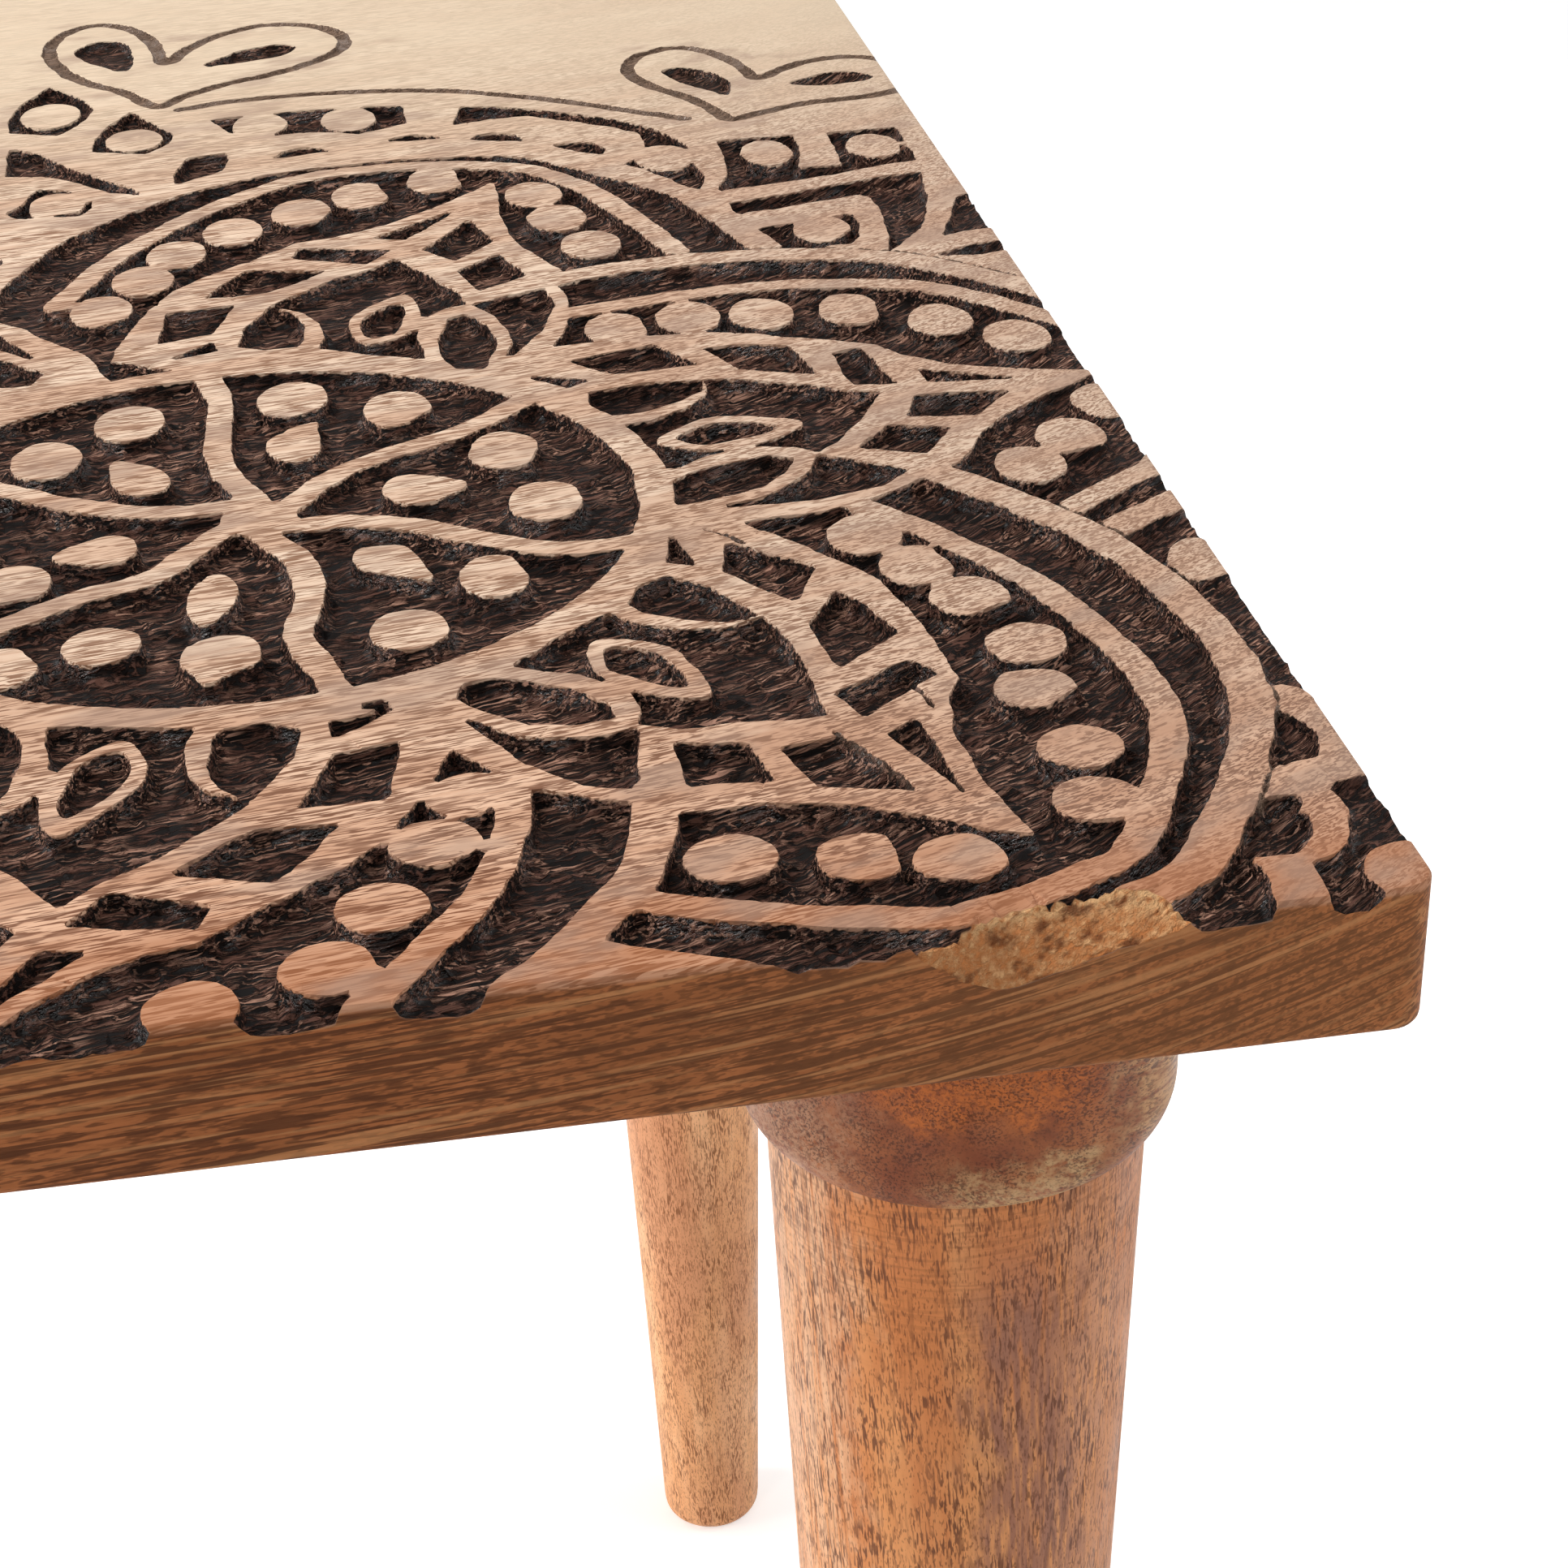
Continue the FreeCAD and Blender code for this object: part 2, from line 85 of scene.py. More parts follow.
def add(tree: bpy.types.NodeTree, kind: str, values: dict | None = None, links: dict | None = None,
        **settings) -> bpy.types.Node:
    """Adds one node with its settings, its socket values and its links.

    Args:
        tree: node tree that takes the node.
        kind: Blender's name for the kind of node.
        values: constants by input name or number.
        links: output sockets of other nodes by input name or number.
        **settings: properties of the node itself.

    Returns:
        The new node.
    """
    node = tree.nodes.new(kind)
    for name, value in settings.items():
        setattr(node, name, value)
    for socket, value in (values or {}).items():
        node.inputs[socket].default_value = value
    for socket, source in (links or {}).items():
        tree.links.new(source, node.inputs[socket])
    return node


def blank_material(name: str) -> tuple[bpy.types.Material, bpy.types.NodeTree, bpy.types.Node]:
    """Makes a node material that holds only its output.

    Args:
        name: the material's name.

    Returns:
        The material, its node tree and its output node.
    """
    material = bpy.data.materials.new(name)
    material.use_nodes = True
    material.node_tree.nodes.clear()
    return material, material.node_tree, material.node_tree.nodes.new("ShaderNodeOutputMaterial")


def mesh_object(name: str, points: np.ndarray, faces: np.ndarray | list, material: bpy.types.Material,
                sharp: float = 30.0) -> bpy.types.Object:
    """Makes an object at the origin from points in metres.

    Args:
        name: the object's name.
        points: one row of x, y, z per vertex, in metres.
        faces: vertex numbers of each face.
        material: finish of the whole piece.
        sharp: edges that turn more than this many degrees stay sharp.

    Returns:
        The object, linked to the scene and shaded smooth.
    """
    mesh = bpy.data.meshes.new(name)
    mesh.from_pydata(points.tolist(), [], faces.tolist() if isinstance(faces, np.ndarray) else faces)
    mesh.materials.append(material)
    mesh.validate()
    mesh.shade_smooth()
    mesh.set_sharp_from_angle(angle=math.radians(sharp))
    made = bpy.data.objects.new(name, mesh)
    bpy.context.scene.collection.objects.link(made)
    return made


@dataclass(frozen=True)
class Ripple:
    """Uneven surface: a sum of plane waves whose directions and phases come from a seed.

    Attributes:
        seed: picks the waves.
        along: typical length of a wave along x, in millimetres.
        across: typical length of a wave along y, in millimetres.
        waves: how many are added up.
    """

    seed: int
    along: float
    across: float
    waves: int = 16

    def at(self, x: np.ndarray, y: np.ndarray) -> np.ndarray:
        """Height at each place, mostly within -1 and 1: the sum of sin(2 pi (kx x + ky y) + phase) over the
        waves, divided by the root of twice their number."""
        chance = np.random.default_rng(self.seed)
        kx = chance.normal(0, 1 / self.along, self.waves)
        ky = chance.normal(0, 1 / self.across, self.waves)
        phase = chance.uniform(0, 2 * math.pi, self.waves)
        turns = 2 * math.pi * (x[..., None] * kx + y[..., None] * ky) + phase
        return np.sin(turns).sum(-1) / math.sqrt(self.waves / 2) / 2


def smooth_path(points: Points | np.ndarray, closed: bool = False, per_span: int = 6) -> np.ndarray:
    """Catmull-Rom curve through the points: each span is the cubic whose slope at a point is half the step
    between the point's neighbours.

    Args:
        points: places to pass through.
        closed: whether the curve returns to its start.
        per_span: steps from one point to the next.

    Returns:
        The curve's places, one row each.
    """
    p = np.asarray(points, float)
    ends = (p[-1:], p[:2]) if closed else (2 * p[:1] - p[1:2], 2 * p[-1:] - p[-2:-1])
    run = np.vstack([ends[0], p, ends[1]])
    a, b, c, d = (q[:, None, :] for q in (run[:-3], run[1:-2], run[2:-1], run[3:]))
    t = np.linspace(0, 1, per_span, endpoint=False)[None, :, None]
    bend, twist = 2 * a - 5 * b + 4 * c - d, 3 * b - a - 3 * c + d
    curve = 0.5 * (2 * b + (c - a) * t + bend * t ** 2 + twist * t ** 3)
    curve = curve.reshape(-1, 2)
    return curve if closed else np.vstack([curve, p[-1]])


def turned(points: Points | np.ndarray, degrees: float) -> np.ndarray:
    """Turns places about the mandala's middle.

    Args:
        points: places, one row each.
        degrees: turn, counted from x towards y.

    Returns:
        The turned places.
    """
    a = math.radians(degrees)
    u, v = np.asarray(points, float).T
    return np.stack([u * math.cos(a) - v * math.sin(a), u * math.sin(a) + v * math.cos(a)], 1)


class Tool(Enum):
    """What a form does to the wood where it lies."""

    RAISE = "stands at the board's face"
    CUT = "is cut down to the ground"


class CarvedField:
    """Signed distance to the nearest carved wall on a square grid, positive where wood stands, and how deep
    the ground lies.

    Args:
        low: least x and y of the grid.
        high: greatest x and y of the grid.
        step: spacing of the grid.
    """

    # how far from a form the grid can change, and how far round a cut the ground takes the cut's depth
    REACH = 7.0
    APRON = 1.6

    def __init__(self, low: tuple[float, float], high: tuple[float, float], step: float) -> None:
        self.step = step
        self.xs = np.arange(low[0], high[0] + step / 2, step)
        self.ys = np.arange(low[1], high[1] + step / 2, step)
        self.value = np.full((len(self.ys), len(self.xs)), self.REACH)
        self.depth = np.full(self.value.shape, GROUND_DEPTH)
        self.creases: list[np.ndarray] = []

    def window(self, points: np.ndarray) -> tuple[slice, slice]:
        """Part of the grid that a form at these places can change."""
        low, high = points.min(0) - self.REACH, points.max(0) + self.REACH
        i0, i1 = np.searchsorted(self.xs, [low[0], high[0]])
        j0, j1 = np.searchsorted(self.ys, [low[1], high[1]])
        return slice(j0, j1), slice(i0, i1)

    def distance(self, path: np.ndarray, area: tuple[slice, slice], closed: bool) -> np.ndarray:
        """Distance from each grid place to the path's nearest segment, taken to the foot of the
        perpendicular, which is held within the segment.

        Args:
            path: places along the path.
            area: part of the grid.
            closed: whether the last place joins the first.

        Returns:
            One distance per grid place of the area.
        """
        x, y = np.meshgrid(self.xs[area[1]], self.ys[area[0]])
        best = np.full(x.shape, 1e9)
        start, end = (path, np.roll(path, -1, 0)) if closed else (path[:-1], path[1:])
        for (ax, ay), (bx, by) in zip(start, end):
            dx, dy = bx - ax, by - ay
            t = np.clip(((x - ax) * dx + (y - ay) * dy) / max(dx * dx + dy * dy, 1e-9), 0, 1)
            best = np.minimum(best, (x - ax - t * dx) ** 2 + (y - ay - t * dy) ** 2)
        return np.sqrt(best)

    def inside(self, path: np.ndarray, area: tuple[slice, slice]) -> np.ndarray:
        """Whether each grid place lies in the closed path: a ray along x meets its sides an odd number of
        times.

        Args:
            path: corners of the closed path.
            area: part of the grid.

        Returns:
            True for places inside.
        """
        x, y = np.meshgrid(self.xs[area[1]], self.ys[area[0]])
        odd = np.zeros(x.shape, bool)
        for (ax, ay), (bx, by) in zip(path, np.roll(path, -1, 0)):
            if ay != by:
                odd ^= ((ay > y) != (by > y)) & (x < ax + (y - ay) / (by - ay) * (bx - ax))
        return odd

    def apply(self, area: tuple[slice, slice], form: np.ndarray, tool: Tool, depth: float) -> None:
        """Raises the wood to the form or cuts the form out of it.

        Args:
            area: part of the grid.
            form: signed distance, positive inside the form.
            tool: what the form does.
            depth: how far down a cut goes.
        """
        if tool is Tool.RAISE:
            self.value[area] = np.maximum(self.value[area], form)
            return
        fresh = (form > -self.APRON) & (self.value[area] > 0)
        self.depth[area] = np.where(fresh, depth, self.depth[area])
        self.value[area] = np.minimum(self.value[area], -form)

    def stroke(self, points: Points | np.ndarray, width: float, tool: Tool = Tool.RAISE, closed: bool = False,
               depth: float = GROUND_DEPTH) -> None:
        """Draws a strip of one width along a smooth curve. The middle of one narrower than the grid's step is
        kept as a crease.

        Args:
            points: places that the strip's middle passes through.
            width: width of the strip.
            tool: what the strip does.
            closed: whether the strip is a loop.
            depth: how far down a cut goes.
        """
        path = smooth_path(points, closed)
        area = self.window(path)
        self.apply(area, width / 2 - self.distance(path, area, closed), tool, depth)
        if width < self.step:
            self.creases.append(path)

    def shape(self, points: Points | np.ndarray, tool: Tool = Tool.RAISE, smooth: bool = False,
              depth: float = GROUND_DEPTH) -> None:
        """Fills a closed outline.

        Args:
            points: corners of the outline, or places on it.
            tool: what the shape does.
            smooth: whether the outline is curved through its places.
            depth: how far down a cut goes.
        """
        path = smooth_path(points, True) if smooth else np.asarray(points, float)
        area = self.window(path)
        form = self.distance(path, area, True)
        self.apply(area, np.where(self.inside(path, area), form, -form), tool, depth)

    def dot(self, centre: tuple[float, float] | np.ndarray, half_width: float, half_height: float) -> None:
        """Raises an oval: k (1 - k) / g, where k is the place's share of the oval's radius and g the length
        of k's slope times k. Most dots have lost a flat slice where the knife slipped, on a side that a
        seeded chance picks.

        Args:
            centre: middle of the oval.
            half_width: half its size along x.
            half_height: half its size along y.
        """
        middle = np.asarray(centre, float)
        chance = np.random.default_rng(int(abs(middle[0]) * 10) * 7919 + int(abs(middle[1]) * 10))
        slice_from, slice_at = math.radians(chance.uniform(-80, 40)), chance.uniform(0.76, 1.15)
        corner = np.array([half_width, half_height])
        area = self.window(np.array([middle - corner, middle + corner]))
        x, y = np.meshgrid(self.xs[area[1]] - middle[0], self.ys[area[0]] - middle[1])
        k = np.hypot(x / half_width, y / half_height)
        g = np.hypot(x / half_width ** 2, y / half_height ** 2)
        form = np.where(k > 0.3, k * (1 - k) / np.maximum(g, 1e-6), min(half_width, half_height) * 0.7)
        slope = math.sin(slice_from)
        sliced = slice_at * half_width - x * math.cos(slice_from) - y * slope * half_width / half_height
        self.apply(area, np.minimum(form, sliced), Tool.RAISE, 0.0)

    def read(self, grid: np.ndarray, x: np.ndarray, y: np.ndarray) -> np.ndarray:
        """Value of a grid at any places, by straight blending between its four nearest nodes.

        Args:
            grid: value or depth.
            x: places along x.
            y: places along y.

        Returns:
            One number per place; beyond the grid, that of its edge.
        """
        i = np.clip((x - self.xs[0]) / self.step, 0, len(self.xs) - 1.001)
        j = np.clip((y - self.ys[0]) / self.step, 0, len(self.ys) - 1.001)
        i0, j0 = i.astype(int), j.astype(int)
        a, b = i - i0, j - j0
        low = grid[j0, i0] * (1 - a) + grid[j0, i0 + 1] * a
        high = grid[j0 + 1, i0] * (1 - a) + grid[j0 + 1, i0 + 1] * a
        return low * (1 - b) + high * b

    def contour(self, level: float) -> tuple[np.ndarray, np.ndarray]:
        """Line of one value, by marching squares: where a grid edge's ends lie on both sides of the level, a
        place is put on it by straight blending, at least a tenth of the edge from its ends, and the two
        places of a cell are joined. In a cell with four, the middle's value picks the pairs.

        Args:
            level: value that the line follows.

        Returns:
            Places on the line, and pairs of their numbers.
        """
        f = self.value - level
        f = np.where(np.abs(f) < 1e-6, 1e-6, f)
        up = f > 0
        level_cross, upright_cross = up[:, :-1] != up[:, 1:], up[:-1] != up[1:]
        level_id, upright_id = np.full(level_cross.shape, -1), np.full(upright_cross.shape, -1)
        count = int(level_cross.sum())
        level_id[level_cross] = np.arange(count)
        upright_id[upright_cross] = count + np.arange(int(upright_cross.sum()))
        j, i = np.nonzero(level_cross)
        t = np.clip(f[j, i] / (f[j, i] - f[j, i + 1]), 0.1, 0.9)
        places = [np.stack([self.xs[i] + t * self.step, self.ys[j]], 1)]
        j, i = np.nonzero(upright_cross)
        t = np.clip(f[j, i] / (f[j, i] - f[j + 1, i]), 0.1, 0.9)
        places.append(np.stack([self.xs[i], self.ys[j] + t * self.step], 1))
        below, above, left, right = level_id[:-1], level_id[1:], upright_id[:, :-1], upright_id[:, 1:]
        around = np.stack([below, right, above, left])
        found = (around >= 0).sum(0)
        pairs = [np.sort(around[:, found == 2], 0)[2:].T]
        four = found == 4
        middle = (f[:-1, :-1] + f[1:, :-1] + f[:-1, 1:] + f[1:, 1:] > 0)[four]
        cut_off = up[:-1, :-1][four] == middle
        pairs.append(np.where(cut_off, [below[four], right[four]], [below[four], left[four]]).T)
        pairs.append(np.where(cut_off, [above[four], left[four]], [above[four], right[four]]).T)
        return np.vstack(places), np.vstack(pairs)


def dot_height(y: float) -> float:
    """Half height of a petal's dot at that y: the dots were cut longer across the grain towards the back."""
    return DOT_HALF_WIDTH * float(np.interp(y, (-80, -48, 0, 45, 220), (1.0, 1.15, 1.25, 1.32, 1.4)))


# Leaf inside a petal, as the petal nearest the corner has it: first number outward from the mandala's middle,
# second to the left
LEAF: Points = (
    (167, -1.5), (160, 1.5), (150, 7.5), (140, 14.5), (133, 22.5), (130, 29), (120, 35.2), (110, 42),
    (100, 47), (90, 48.7), (80, 49.5), (72, 50), (60, 50), (60, -26), (76, -33), (85, -33.5), (97, -35),
    (105, -34), (113, -31.5), (119, -28), (125, -27), (130, -21), (133, -17), (140, -12), (150, -7.5),
    (160, -4.5))
LEAF_CELLS: tuple[Points, ...] = (
    ((151, 1.7), (132.8, 14.7), (132.8, 8.3)),
    ((126.5, 28), (127, 10), (119, 13), (120.5, 28)),
    ((113.5, 34.5), (114, 20), (101.5, 28), (97, 39.5), (104, 38.5)),
    ((88.5, 44.5), (94, 33), (78, 34), (71.5, 42.5)),
    ((73.5, 33), (69, 31), (61.5, 39.5)),
    ((145.5, -2), (135, -9.5), (123.5, -4.5), (128, 3.5)),
    ((129, -12), (120.5, -20.5), (110.5, -13), (118.5, -6.5)),
    ((115.5, -25.5), (109, -29.5), (97, -30), (80, -26), (90, -25.5), (95, -23), (100, -18.5), (103, -13)),
    ((122.5, 7.5), (118, 10), (110, 17), (100, 23), (94, 26), (92, 19), (87, 14.5), (80, 12), (74, 12),
     (74, 0), (75, -9.5), (80, -8), (85, -5.5), (90, -5), (95, -5.5), (100, -8), (103, -12), (108, -9),
     (115, -1)),
    ((93, 26), (90, 26.5), (80, 28.5), (72, 27.5), (71, 22), (74, 16.5), (78, 16), (85, 17.5), (91, 21)),
    ((98.5, -12.5), (95, -10), (90, -10), (85, -10.5), (80, -12), (76, -14), (73, -18), (75.5, -22.5),
     (80, -22.5), (85, -22.5), (90, -21.5), (95, -18)),
)
EYE: Points = ((105, 1.5), (99, 6), (91, 9.5), (84, 8), (78.5, 3.5), (83, -2), (91, -5), (100, -3))
EYE_HOLE: Points = ((100, 1.5), (95, 5), (90, 6.5), (85, 5.5), (82, 3), (86, -1), (92, -1), (97, -0.5))


@dataclass(frozen=True)
class Petal:
    """One petal of the mandala, read from the photograph.

    Attributes:
        axis: direction of the petal, in degrees from x towards y.
        outer: middle of its outer band, in the petal's own directions.
        inner: middle of the thin band inside it.
        dots: middles of its dots.
        anchors: pairs of a place on the leaf as drawn above and where this petal has it.
        scale: size outward and sideways of a petal that repeats another.
        outer_width: width of the outer band.
        inner_width: width of the inner band.
        score_at: distance of the knife's line from the outer band's middle.
        score_width: width of the knife's line.
        score_depth: how deep it was cut.
    """

    axis: float
    outer: Points
    inner: Points
    dots: Points
    anchors: tuple[tuple[tuple[float, float], tuple[float, float]], ...] = ()
    scale: tuple[float, float] = (1.0, 1.0)
    outer_width: float = 6.8
    inner_width: float = 5.6
    score_at: float = 3.8
    score_width: float = 0.5
    score_depth: float = 1.3

    def warp(self, points: Points) -> np.ndarray:
        """Bends places of the leaf onto the board: the quadratic map that fits the anchors best by least
        squares, then the petal's turn.

        Args:
            points: places on the leaf as drawn above.

        Returns:
            Places on the board.
        """
        p = np.asarray(points, float)
        if not self.anchors:
            return turned(p * self.scale, self.axis)

        def terms(q: np.ndarray) -> np.ndarray:
            """1, u, v, uu, uv and vv of each place."""
            u, v = q.T / 100
            return np.stack([np.ones_like(u), u, v, u * u, u * v, v * v], 1)

        drawn, seen = (np.array(side, float) for side in zip(*self.anchors))
        return turned(terms(p) @ np.linalg.lstsq(terms(drawn), seen, rcond=None)[0], self.axis)

    def on_board(self, points: Points) -> np.ndarray:
        """Places of a band or of dots on the board: scaled, then turned to the petal's axis."""
        return turned(np.asarray(points, float) * self.scale, self.axis)

    def clear(self, ground: CarvedField) -> None:
        """Cuts the petal's whole field down to the ground."""
        ground.shape(np.vstack([smooth_path(self.on_board(self.outer)), [[0.0, 0.0]]]), Tool.CUT)

    def carve(self, ground: CarvedField) -> None:
        """Raises the petal's bands and its leaf, and cuts the leaf's cells."""
        ground.stroke(self.on_board(self.outer), self.outer_width)
        ground.stroke(self.on_board(self.inner), self.inner_width)
        ground.shape(self.warp(LEAF))
        for cell in LEAF_CELLS:
            ground.shape(self.warp(cell), Tool.CUT)
        ground.shape(self.warp(EYE), smooth=True)
        ground.shape(self.warp(EYE_HOLE), Tool.CUT, smooth=True)

    def score(self, ground: CarvedField) -> None:
        """Cuts the knife's line to the left of the outer band's middle, seen along its path. It leaves out
        nine of the path's places at each end and passes through every fourth of the others."""
        path = smooth_path(self.on_board(self.outer))
        step = np.gradient(path, axis=0)
        left = np.stack([-step[:, 1], step[:, 0]], 1) / np.hypot(*step.T)[:, None]
        line = (path + self.score_at * left)[9:-9:4]
        ground.stroke(line, self.score_width, Tool.CUT, depth=self.score_depth)

    def carve_dots(self, ground: CarvedField) -> None:
        """Raises the row of dots between leaf and band."""
        for place in self.on_board(self.dots):
            ground.dot(place, DOT_HALF_WIDTH, dot_height(place[1]))


CORNER_PETAL = Petal(
    axis=-50,
    outer=((70, 86), (80, 85.5), (95, 84.5), (110, 82.5), (120, 80), (130, 76), (140, 71), (150, 65),
           (160, 57), (170, 45.5), (177, 33),
           (182, 22), (187, 8), (187.5, 0), (180, -22), (172, -36), (160, -50), (145, -58), (138, -60)),
    inner=((70, 67), (80, 67), (90, 66.5), (100, 65), (110, 63.5), (120, 61), (130, 57), (140, 52.5),
           (150, 46.5), (160, 38),
           (167, 28.5), (173, 17), (178, 5), (178, -3), (175, -14), (170, -25), (160, -33), (150, -39.5),
           (140, -45), (136, -46.5)),
    dots=((87, 58.5), (101, 55), (114.5, 51), (131, 43.5), (141, 32.5), (156.5, 22), (167, 11.5),
          (162, -12.5), (151.5, -20.5), (138, -31.5)),
)
RIGHT_PETAL = Petal(
    axis=11,
    outer=((70, 80), (80, 88.5), (90, 90), (100, 90), (110, 89), (120, 86.5), (130, 83), (140, 78),
           (150, 70.5), (160, 55.5), (168, 40),
           (175, 20), (178, 0), (170, -28), (155, -50), (147, -55), (140, -58), (131, -62)),
    inner=((74, 70), (85, 70), (100, 70), (110, 69.3), (120, 68), (130, 64.2), (140, 59.7), (150, 51.4),
           (160, 34), (166, 20), (169, 0),
           (165, -20), (150, -40), (140, -45.5), (128, -52)),
    dots=((152.5, 23.5), (142.5, 37), (129, 49.5), (112.5, 54), (99, 58), (84.5, 58), (154, -12),
          (141.5, -24), (130, -32.5)),
    anchors=(((167, -1.5), (158, 0)), ((151, 1.7), (141.1, 5)), ((132.8, 14.7), (130, 15)),
             ((132.8, 8.3), (130, 9.5)),
             ((126.5, 28), (123.1, 24)), ((120.5, 28), (116.7, 31)), ((127, 10), (123.1, 10.6)),
             ((119, 13), (116.1, 13.9)),
             ((113.5, 34.5), (110.6, 37.8)), ((114, 20), (111.1, 20.6)), ((101.5, 28), (98.9, 27.2)),
             ((97, 39.5), (95, 44.4)),
             ((88.5, 44.5), (87.8, 45.6)), ((94, 33), (90, 36.1)), ((78, 34), (80, 37.2)),
             ((71.5, 42.5), (72.8, 44.4)),
             ((73.5, 33), (70, 35.5)), ((61.5, 39.5), (61.1, 42.2)), ((145.5, -2), (143.3, -1.1)),
             ((135, -9.5), (130.6, -8.9)),
             ((123.5, -4.5), (121.1, -5.6)), ((128, 3.5), (125.6, 2.2)), ((129, -12), (125, -12.8)),
             ((120.5, -20.5), (115.6, -21.7)),
             ((110.5, -13), (106.7, -15)), ((118.5, -6.5), (114.4, -6.1)), ((115.5, -25.5), (108.9, -25.6)),
             ((109, -29.5), (102.2, -30)),
             ((97, -30), (91, -31)), ((80, -26), (76.7, -27.8)), ((122.5, 7.5), (118.3, 6.1)),
             ((105, 1.5), (99.4, 0.6)),
             ((78.5, 3.5), (75, 2.2)), ((91, 9.5), (85.6, 9.8)), ((91, -5), (85.6, -5)),
             ((93, 26), (89.4, 26.1)), ((80, 28.5), (80, 29.4)),
             ((98.5, -12.5), (94.4, -15)), ((90, -10), (83.3, -11.1)), ((90, -21.5), (82.2, -24.4)),
             ((80, 49.5), (80, 52)),
             ((120, 35.2), (120, 36.1)), ((150, 7.5), (145, 13))),
)
BACK_PETAL = Petal(
    axis=71,
    outer=((72, 84), (80, 86), (100, 87), (120, 86.5), (130, 85.6), (145, 80), (155, 75), (164, 70),
           (175, 60), (182.5, 50), (191, 33),
           (196, 15), (197.5, 0), (187, -20), (174, -40), (162, -50), (147.5, -60), (140, -65)),
    inner=((93, 69), (110, 68.5), (120, 68), (133, 65), (150, 60), (168.5, 50), (178.8, 40), (186.5, 20),
           (187, 0), (182, -10),
           (173.8, -20), (161, -30), (147.5, -40), (135, -48)),
    dots=((176.5, 15), (165, 28.5), (153, 38), (139.5, 48.5), (124.5, 55.5), (109, 57), (91.5, 59), (169, -9),
          (154.5, -17.5), (139, -28.5)),
    anchors=(((167, -1.5), (178.75, 2.25)), ((151, 1.7), (153.75, 5.6)), ((132.8, 14.7), (140, 17.5)),
             ((132.8, 8.3), (140, 10)),
             ((126.5, 28), (131, 25)), ((127, 10), (131.3, 13.7)), ((119, 13), (126, 17.5)),
             ((120.5, 28), (126.2, 31)),
             ((113.5, 34.5), (117.5, 38)), ((114, 20), (117, 22.5)), ((101.5, 28), (105.5, 28.7)),
             ((97, 39.5), (102.5, 42.5)),
             ((88.5, 44.5), (91, 43)), ((94, 33), (96, 34)), ((78, 34), (85, 35)), ((71.5, 42.5), (79, 41)),
             ((145.5, -2), (148.75, -0.6)),
             ((135, -9.5), (138.75, -6.25)), ((123.5, -4.5), (127.5, -1.9)), ((128, 3.5), (133.1, 3.75)),
             ((129, -12), (129.4, -10.6)),
             ((120.5, -20.5), (121.25, -18.1)), ((110.5, -13), (113.1, -12.5)),
             ((118.5, -6.5), (121.25, -5.6)),
             ((115.5, -25.5), (113.1, -23.1)), ((109, -29.5), (102.5, -30)), ((97, -30), (92, -30)),
             ((122.5, 7.5), (125, 3.1)),
             ((105, 1.5), (105, 1.6)), ((78.5, 3.5), (77.5, 2.5)), ((91, 9.5), (91.25, 9.6)),
             ((91, -5), (91.25, -5)),
             ((93, 26), (95, 26.25)), ((80, 28.5), (83, 27.5)), ((98.5, -12.5), (96.25, -15.6)),
             ((90, -10), (88, -11.25)),
             ((90, -21.5), (87, -22.5)), ((80, 49.5), (80, 48.8)), ((130, 29), (130, 39.4)),
             ((140, 14.5), (150, 16.9)),
             ((160, 1.5), (170, 4.75)), ((160, -4.5), (170, -1.5)), ((133, -17), (135, -15))),
)
FRONT_PETAL = Petal(
    axis=0,
    outer=((57, -105), (56.3, -110), (55, -117.5), (51.3, -128.8), (46.3, -136.3), (40, -145), (33.8, -151.3),
           (24, -164),
           (6, -178), (-25, -190), (-45, -184), (-65, -169), (-76.5, -158), (-87, -143), (-91, -128),
           (-91.5, -119)),
    inner=((37.5, -99), (37.5, -103.8), (36.3, -112.5), (33.8, -121.3), (30, -130), (25, -137.5), (20, -145),
           (15, -151.3), (5, -163),
           (-20, -176), (-46, -172), (-65.5, -159), (-70.7, -147), (-74.6, -136), (-77, -127), (-78, -120.7)),
    dots=((31.3, -101.6), (26, -113.8), (18, -128.8), (10.6, -142.5), (-6.5, -148), (-51, -154),
          (-56.5, -142), (-64, -126.3)),
    anchors=(((71.5, 42.5), (23.1, -86.3)), ((88.5, 44.5), (18.8, -99.4)), ((94, 33), (8.1, -100)),
             ((78, 34), (13.8, -88.8)),
             ((97, 39.5), (13.1, -106.9)), ((113.5, 34.5), (4.4, -119.8)), ((114, 20), (-9.4, -115)),
             ((101.5, 28), (0, -106.9)),
             ((120.5, 28), (-1.3, -125)), ((119, 13), (-16.3, -119.4)), ((127, 10), (-23.1, -125.6)),
             ((126.5, 28), (-12.5, -129.4)),
             ((94, 26.5), (-1.3, -98.8)), ((72, 27.5), (9.4, -76)), ((74, 16.5), (-3.5, -76)),
             ((85, 17.5), (-4.4, -88)),
             ((105, 1.5), (-25, -99.4)), ((78.5, 3.5), (-14.4, -75)), ((91, 9.5), (-13.8, -87)),
             ((91, -5), (-26.3, -84)),
             ((73.5, 33), (12.5, -82)), ((61.5, 39.5), (22, -71.5)), ((80, 49.5), (28, -93)),
             ((120, 35.2), (7.5, -126)),
             ((122.5, 7.5), (-24, -117)), ((140, 14.5), (-22, -138)), ((98.5, -12.5), (-37.1, -95.3)),
             ((97, -30), (-54.2, -89.4)),
             ((120.5, -20.5), (-50.5, -115.3)), ((76, -33), (-51.9, -67.7)), ((140, -12), (-46.9, -136.9)),
             ((167, -1.5), (-43.1, -166.5))),
)
